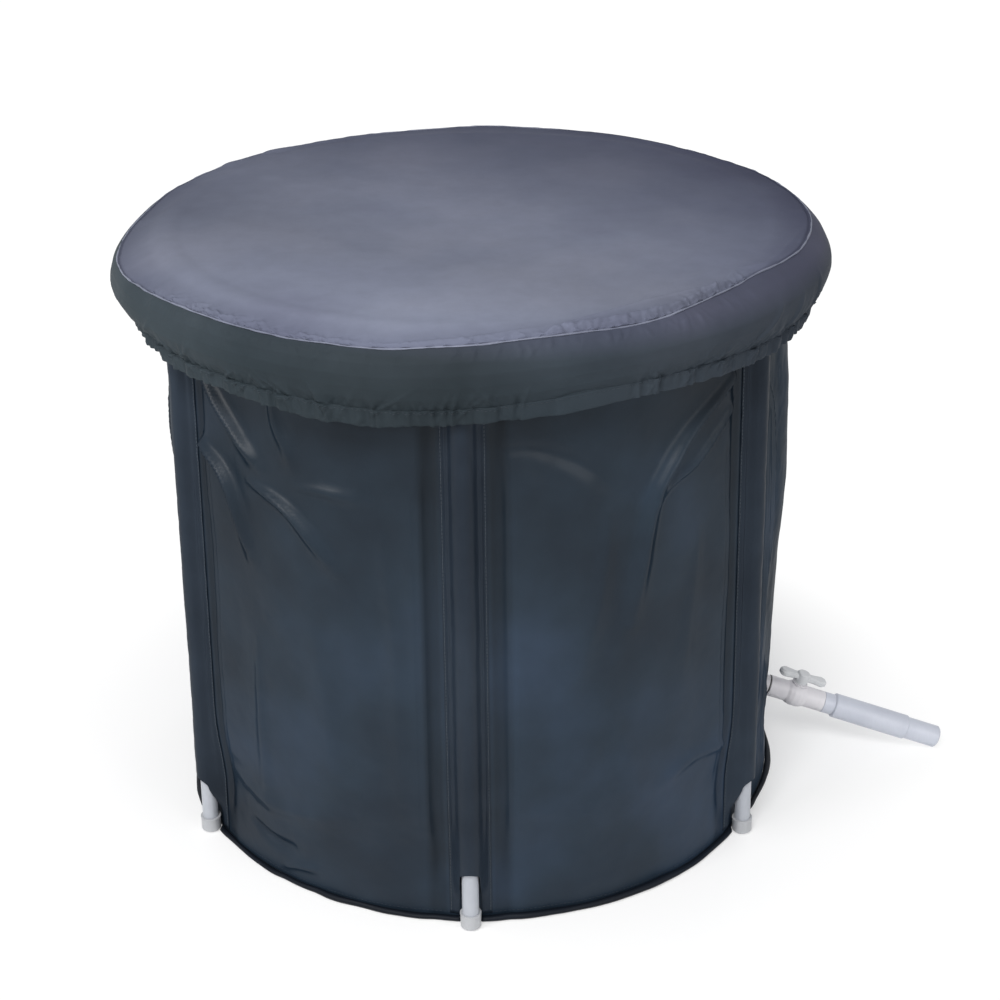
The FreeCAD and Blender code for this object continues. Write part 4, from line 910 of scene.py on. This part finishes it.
# How far it stands out low down, where it hangs over the hem at both sides
SKIRT_LOW_OUT = [
    (-150, 0), (-125, 5), (-105, 12), (-90, 12), (-75, 8), (-62, 3), (-45, 0), (45, 0), (62, 3), (75, 7),
    (90, 10), (105, 10), (125, 4), (150, 0),
]

# Folds of the panel near the seam: path of angles and distances in from the seam, half width
# and rise in millimetres
PANEL_FOLDS = [
    ([(16, 0.007), (22, 0.010), (29, 0.009), (36, 0.005)], 3, 2.0),
    ([(30, 0.050), (38, 0.052), (46, 0.050), (55, 0.040), (62, 0.026)], 7, 1.6),
    ([(52, 0.014), (57, 0.020), (61, 0.012), (64, 0.004)], 4, 2.2),
    ([(2, 0.012), (10, 0.017), (17, 0.022)], 4, 1.2),
    ([(-12, 0.004), (-5, 0.008), (4, 0.012), (9, 0.008)], 4, 1.6),
    ([(-28, 0.002), (-22, 0.006), (-15, 0.004)], 3, 1.6),
    ([(-48, 0.002), (-41, 0.007), (-33, 0.003)], 3, 1.4),
    ([(-47, 0.002), (-46, 0.010), (-44, 0.016)], 2, 1.6),
    ([(-40, 0.002), (-38, 0.009), (-35, 0.014)], 2, 1.4),
    ([(-36, 0.002), (-33, 0.009), (-31, 0.013)], 2, 1.2),
    ([(60, 0.003), (66, 0.012), (75, 0.016), (84, 0.006)], 5, 1.6),
    ([(120, 0.003), (132, 0.014), (146, 0.010), (158, 0.003)], 5, 2.2),
    ([(-122, 0.004), (-127, 0.010), (-131, 0.006)], 6, 3.4),
    ([(-133, 0.003), (-137, 0.010), (-141, 0.012)], 5, 4.2),
    ([(-142, 0.006), (-150, 0.014), (-160, 0.010)], 6, 3.0),
    ([(-128, 0.003), (-117, 0.012), (-104, 0.006)], 5, 1.8),
]

# The cloth laid double along the seam at the front right: how far in from the seam its fold lies
FLAP = [
    (-180, -20), (8, -20), (12, 3), (16, 13), (20, 22), (26, 31), (32, 37), (38, 27), (44, 15), (52, 2),
    (57, -20),
]
FLAP_RISE = 5.0 * MM

# The skirt's swell by its share from seam to hem, and its folds like the panel's, with the
# distance down from the seam
SKIRT_SHARES = [0, 0.08, 0.2, 0.4, 0.6, 0.8, 0.92, 1]
SKIRT_SWELLS = [0, 0.45, 0.82, 1, 0.94, 0.66, 0.34, 0.1]
SKIRT_FOLDS = [
    ([(48, 0.062), (53, 0.045), (57, 0.022)], 3, 3.2),
    ([(57, 0.068), (61, 0.052), (64, 0.03)], 3, 3.0),
    ([(40, 0.066), (44, 0.05)], 3, 2.0),
    ([(68, 0.066), (71, 0.04), (72, 0.02)], 3, 2.4),
    ([(-62, 0.066), (-57, 0.045), (-55, 0.025)], 3, 2.6),
    ([(-50, 0.068), (-46, 0.05), (-45, 0.03)], 2.5, 2.4),
    ([(-39, 0.068), (-36, 0.052)], 2.5, 2.0),
    ([(12, 0.070), (17, 0.062), (24, 0.066)], 2, -1.6),
    ([(100, 0.06), (106, 0.04), (108, 0.02)], 3, 2.6),
    ([(150, 0.06), (146, 0.04), (145, 0.02)], 3, 2.6),
    ([(-150, 0.06), (-145, 0.04), (-143, 0.02)], 3, 2.6),
    ([(-100, 0.06), (-96, 0.04), (-95, 0.02)], 3, 2.6),
]

# Angles where the seam's puckers and the hem's pleats gather
FRONT_BUNCHES = [-52, -45, -38, -33, -24, -14, 4, 14, 22, 30, 38, 48]
PLEAT_BUNCHES = [
    -62, -56, -50, -44, -38, -33, -28, -22, -12, -3, 6, 30, 40, 50, 58, 66, 74,
    90, 104, 120, 138, 155, 172, -172, -155, -138, -120, -104, -88, -74,
]


def seam_line(angle):
    """Radius and height of the seam, which wanders a little."""
    radius = seam_radius - 0.5 * MM - round_table(angle, SEAM_IN) + 1.0 * MM * noise_round(angle, 40, 71)
    height = lid_top - 1.8 * MM - round_table(angle, SEAM_DROP) + 0.7 * MM * noise_round(angle, 33, 72)
    return radius, height


def make_lid_panel():
    angle, share, around = around_grid(COVER_COLUMNS, 116)
    edge_radius, edge_height = seam_line(angle)
    out = 1 - (1 - share) ** 2.1
    radius = edge_radius * out
    inward = edge_radius - radius
    folds = sum(crease(angle, inward, path, width, rise) for path, width, rise in PANEL_FOLDS)
    flap = round_table(angle, FLAP)
    folds += FLAP_RISE * smooth(-2.2 * MM, 2.2 * MM, flap - inward) * smooth(0, 5 * MM, inward)
    folds += 1.6 * MM * bell(flap - inward - 3 * MM, 2.4 * MM) * smooth(0, 9 * MM, flap)
    folds += puckers(angle, inward, 190, 76, FRONT_BUNCHES, 5, 2.6 * MM, 1.7 * MM, 0.9, 10 * MM)
    folds -= puckers(angle, inward, 190, 77, FRONT_BUNCHES, 5, 2.2 * MM, 1.6 * MM, 0.9, 9 * MM)
    folds -= 2.0 * MM * bell(inward - 2.4 * MM, 1.5 * MM)
    folds += 0.35 * MM * noise(around, out, 150, 10, 78) * bell(inward, 0.03)
    folds += np.abs(0.8 * MM * noise(around, out, 46, 5, 79) * bell(inward, 0.09) * smooth(0, 0.01, inward))
    sag = -0.7 * MM * (1 - (radius / seam_radius) ** 2)
    broad = (0.9 + 1.0 * noise(around, out, 7, 3, 73)) * MM * smooth(0.02, 0.2, radius)
    height = lid_top + sag + broad + (edge_height - lid_top) * np.exp(-((inward / 0.036) ** 1.3))
    ring_top = ring_height + np.sqrt(np.clip(cuff_outer ** 2 - (radius - ring_radius) ** 2, 0, None))
    rest = np.where(np.abs(radius - ring_radius) < cuff_outer, ring_top + 1.2 * MM, 0)
    height = (height + rest + np.sqrt((height - rest) ** 2 + (1.6 * MM) ** 2)) / 2
    height = np.where(inward <= 0, edge_height, height + folds)
    piece = turned_grid("cover_panel", angle, radius, height, flip=True, level=True)
    thicken(piece, CLOTH_THICK)
    return dress(piece, top_cloth, "lid", ("lid_panel",))


def make_piping():
    angle, share, _ = around_grid(COVER_COLUMNS, 10)
    edge_radius, edge_height = seam_line(angle)
    turn = tube_turn(share)
    thick = 0.95 * MM * (1 + 0.35 * noise_round(angle, 260, 78))
    radius = edge_radius + 0.5 * MM + 0.35 * MM * noise_round(angle, 150, 79) + thick * np.cos(turn)
    height = edge_height - 0.6 * MM + 0.45 * MM * noise_round(angle, 110, 80) + thick * np.sin(turn)
    piece = turned_grid("cover_piping", angle, radius, height, closed=True)
    return dress(piece, piping_cloth, "lid", ("lid_piping",))


def skirt_place(angle, share):
    """Radius and height on the skirt, from the seam at share 0 to the top of the hem at 1."""
    edge_radius, edge_height = seam_line(angle)
    foot_out = hem_outer - 1.2 * MM + 1.2 * MM * noise_round(angle, 24, 81)
    swell = (skirt_bulge - seam_radius - 1.2 * MM) * (1 + 0.12 * noise_round(angle, 13, 82))
    down = share * skirt_tall
    off_seam = smooth(-1 * MM, 5 * MM, down)
    radius = seam_radius + (foot_out - seam_radius) * share
    radius += swell * np.interp(share, SKIRT_SHARES, SKIRT_SWELLS)
    radius += (edge_radius - seam_radius) * np.clip(1 - share / 0.5, 0, 1) ** 2
    radius += round_table(angle, SKIRT_OUT) * np.sin(np.pi * share) ** 0.7 * (1 - 0.5 * share)
    radius += round_table(angle, SKIRT_LOW_OUT) * np.sin(np.pi * share ** 2)
    radius += 1.0 * MM * noise((angle + 180) / 360, share, 28, 3, 83) * off_seam
    radius += puckers(angle, down, 170, 84, FRONT_BUNCHES, 5, 2.6 * MM, 1.8 * MM, 0.5, 9 * MM) * off_seam
    radius += hem_pleats(angle, down - skirt_tall) * 0.7
    for path, width, rise in SKIRT_FOLDS:
        radius += crease(angle, down, path, width, rise)
    bottom = hem_high - 0.8 * MM - round_table(angle, HEM_DROP)
    return radius, edge_height - 0.8 * MM + (bottom - edge_height) * share


def hem_pleats(angle, along):
    """The pleats that the elastic draws, slanting across the hem and fading up the skirt."""
    out = puckers(angle, along, 260, 91, PLEAT_BUNCHES, 3.2, 3.0 * MM, 3.1 * MM, 0.7, 14 * MM)
    return out - 0.8 * puckers(angle, along, 260, 92, PLEAT_BUNCHES, 3.4, 2.4 * MM, 3.0 * MM, 0.7, 12 * MM)


def make_skirt():
    angle, share, _ = around_grid(COVER_COLUMNS, 60)
    piece = turned_grid("cover_skirt", angle, *skirt_place(angle, share), flip=True)
    thicken(piece, CLOTH_THICK)
    return dress(piece, skirt_cloth, "lid", ("lid_skirt",))


def hem_middle_line(angle):
    """Radius and height of the middle of the hem's casing."""
    top_radius, top_height = skirt_place(angle, 0 * angle + 1)
    return top_radius - hem_half_wide + 0.2 * MM, top_height + 0.8 * MM - hem_half_tall


def outer_pleats(angle, down):
    """The pleats on the outer side of the casing, which don't reach down to the elastic."""
    return np.maximum(hem_pleats(angle, down), -0.6 * MM)


def make_hem():
    """The hem's casing: a flat tube of cloth drawn into pleats by the elastic."""
    angle, share, _ = around_grid(COVER_COLUMNS, 34)
    middle, centre = hem_middle_line(angle)
    turn = tube_turn(share)
    flat = np.sign(np.sin(turn)) * np.abs(np.sin(turn)) ** 0.6
    side = np.sign(np.cos(turn)) * np.abs(np.cos(turn)) ** 0.35
    pleats = outer_pleats(angle, hem_half_tall * (1 - flat)) * smooth(-0.2, 0.6, np.cos(turn))
    wavy = 1.8 * MM * noise_round(angle, 48, 95) + 1.2 * MM * noise_round(angle, 120, 96)
    radius = middle + 0.8 * MM * flat + hem_half_wide * side + pleats
    height = centre + hem_half_tall * flat + wavy * (1 - flat) / 2
    piece = turned_grid("cover_hem", angle, radius, height, closed=True)
    dress(piece, skirt_cloth, "lid", ("lid_hem",))
    line_angle = np.linspace(-180, 180, 3000, endpoint=False)[None, :]
    line_down = 3.0 * MM + 0 * line_angle
    middle, centre = hem_middle_line(line_angle)
    radius = middle + hem_half_wide + 0.5 * MM + outer_pleats(line_angle, line_down)
    line = on_turn(line_angle, radius, centre + hem_half_tall - line_down)[0]
    return piece, stitches("hem_stitch", line, 0.15 * MM, "lid")


def make_elastic():
    """The elastic in the hem: a flat band that follows the casing."""
    angle, share, _ = around_grid(COVER_COLUMNS, 12)
    low, high = heights("lid_elastic")
    inner, outer = reach("lid_elastic")
    turn = tube_turn(share)
    middle, centre = hem_middle_line(angle)
    radius = middle - 1.1 * MM + 0.7 * (outer - inner) / 2 * np.cos(turn)
    height = centre + 0.8 * (high - low) / 2 * np.sin(turn)
    piece = turned_grid("elastic_band", angle, radius, height, closed=True)
    return dress(piece, elastic_cloth, "lid", ("lid_elastic",))


PATCH_HOLE = 13.7 * MM


def make_patch():
    """The round cloth patch welded over the drain hole."""
    low, high = heights("drain_patch")
    outer = (high - low) / 2
    turn = np.linspace(0, 2 * math.pi, 72, endpoint=False)
    turns, spans = np.meshgrid(turn, np.linspace(PATCH_HOLE, outer, 12))
    across = spans * np.cos(turns)
    height = (low + high) / 2 + spans * np.sin(turns)
    surface = wall_radius(height) + 0.95 * MM
    ripple = 0.25 * MM * np.sin(turns * 9) * (spans / outer) ** 2
    points = np.stack([np.sqrt(surface ** 2 - across ** 2) + ripple, across, height], axis=-1)
    measures = np.stack([turns * outer, spans], axis=-1)
    piece = sheet_mesh("drain_patch_cloth", points, measures, wrap=True, flip=True)
    thicken(piece, 0.7 * MM)
    dress(piece, wall_cloth, "tub", ("drain_patch",))


make_wall()
make_liner()
make_floor_pad()
make_welt()
for pole in range(1, POLES + 1):
    make_sleeve(pole)
make_ring("rim_cuff_cloth", cuff_outer, wall_cloth, "rim_cuff", 0.9, 101)
make_ring("air_ring_film", bladder - 1 * MM, ring_film, "air_ring", 0.4, 111)
panel = make_lid_panel()
piping = make_piping()
skirt = make_skirt()
hem, hem_row = make_hem()
band = make_elastic()
make_patch()

# Hard pieces keep their solids and get their own materials: name, tone, shaded tone, roughness,
# and how the names of its nodes start
HARD = [
    ("pole_pipe", (177, 181, 188), (167, 171, 179), 0.36, "pole_tube"),
    ("cap_white", (178, 180, 183), (168, 170, 174), 0.34, "foot_cap"),
    (
        "drain_white", (217, 215, 219), (206, 204, 209), 0.34,
        "drain_spout", "valve_body", "seat_carrier", "valve_ball", "valve_stem",
    ),
    (
        "pipe_blue", (196, 200, 211), (186, 190, 202), 0.36,
        "drain_coupling", "drain_nozzle", "drain_pipe",
    ),
    ("grip_grey", (208, 210, 212), (197, 199, 202), 0.36, "valve_handle"),
    ("seal_rubber", (24, 24, 26), (16, 16, 18), 0.55, "drain_gasket", "outlet_oring", "stem_oring"),
    ("seat_plastic", (232, 232, 228), (222, 222, 218), 0.45, "valve_seat"),
    ("air_plastic", (205, 209, 213), (192, 196, 201), 0.3, "air_valve"),
]
for look, tone, shade, roughness, *starts in HARD:
    material = plastic_material(look, tone, shade, roughness)
    for name, node in nodes.items():
        if name.startswith(tuple(starts)):
            node.data.materials.clear()
            node.data.materials.append(material)


# Stage: pale floor, soft light and the camera of the photograph


def make_stage():
    """A pale floor that takes a shadow near the tub and is plain white further out."""
    bpy.ops.mesh.primitive_plane_add(size=30, location=(0, 0, -0.0004))
    floor = bpy.context.object
    floor.name = "stage_floor"
    material = bpy.data.materials.new("stage_white")
    made = Nodes(material)
    shader = made.tree.nodes["Principled BSDF"]
    made.fill(shader, {"Base Color": (0.97, 0.97, 0.97, 1), "Roughness": 0.9, "Specular IOR Level": 0.1})
    glow = made.add("ShaderNodeEmission", {"Color": (1, 1, 1, 1), "Strength": 1.05})
    apart = made.measure("LENGTH", made.place())
    fade = made.spread(apart, 0.40, 0.76, 0.4, 1.0, "SMOOTHSTEP")
    share = made.reckon("MULTIPLY", made.seen(), fade)
    mixed = made.add("ShaderNodeMixShader", {0: share, 1: shader.outputs[0], 2: glow.outputs[0]})
    made.fill(made.tree.nodes["Material Output"], {"Surface": mixed.outputs["Shader"]})
    floor.data.materials.append(material)


def make_world():
    world = bpy.data.worlds.new("studio")
    bpy.context.scene.world = world
    made = Nodes(world)
    back = made.tree.nodes["Background"]
    made.fill(back, {"Color": (0.93, 0.96, 1, 1), "Strength": 0.38})
    white = made.add("ShaderNodeBackground", {"Color": (1, 1, 1, 1), "Strength": 1.0})
    mixed = made.add("ShaderNodeMixShader", {0: made.seen(), 1: back.outputs[0], 2: white.outputs[0]})
    made.fill(made.tree.nodes["World Output"], {"Surface": mixed.outputs[0]})


def make_lamp(name, place, target, size, power, tint):
    lamp = bpy.data.lights.new(name, "AREA")
    lamp.size = size
    lamp.energy = power
    lamp.color = tint
    item = bpy.data.objects.new(name, lamp)
    item.location = place
    item.rotation_euler = (Vector(target) - Vector(place)).to_track_quat("-Z", "Y").to_euler()
    bpy.context.scene.collection.objects.link(item)
    return item


def make_camera():
    """The photograph's camera, found from the six feet, the seam and the hem."""
    distance, height = 2.2666, 1.4848
    pitch, yaw, roll = math.radians(26.177), math.radians(0.77), math.radians(-0.618)
    round_tub = math.radians(2.15)
    focal_share = 1.9713
    camera = bpy.data.cameras.new("camera")
    camera.sensor_width = 36
    camera.lens = camera.sensor_width * focal_share
    camera.clip_start, camera.clip_end = 0.05, 100
    item = bpy.data.objects.new("camera", camera)
    bpy.context.scene.collection.objects.link(item)
    bpy.context.scene.camera = item
    forward = Vector((math.sin(yaw) * math.cos(pitch), math.cos(yaw) * math.cos(pitch), -math.sin(pitch)))
    side = Vector((math.cos(yaw), -math.sin(yaw), 0))
    over = side.cross(forward)
    rolled_side = side * math.cos(roll) + over * math.sin(roll)
    rolled_over = over * math.cos(roll) - side * math.sin(roll)
    turn = Matrix.Rotation(round_tub, 3, "Z")
    columns = [turn @ way for way in (rolled_side, rolled_over, -forward, Vector((0, -distance, height)))]
    item.matrix_world = Matrix([[column[row] for column in columns] for row in range(3)] + [[0, 0, 0, 1]])


make_stage()
make_world()
make_lamp("high", (-0.4, -2.3, 3.1), (0, 0, 0.45), 1.0, 70, (1, 0.99, 0.98))
make_lamp("key", (-2.3, -2.2, 1.8), (0, 0, 0.45), 1.0, 44, (1, 0.985, 0.97))
make_lamp("fill", (2.4, -2.4, 1.4), (0, 0, 0.35), 1.6, 26, (1, 0.98, 0.96))
make_lamp("top", (-0.3, -0.6, 1.55), (-0.3, -0.58, 0), 0.8, 1.6, (0.97, 0.98, 1))
back_lamp = make_lamp("back", (0.6, 3.2, 1.1), (0, 0, 0.3), 2.0, 32, (0.97, 0.98, 1))
back_lamp.visible_glossy = False
make_camera()
bpy.context.scene.view_settings.view_transform = "Standard"
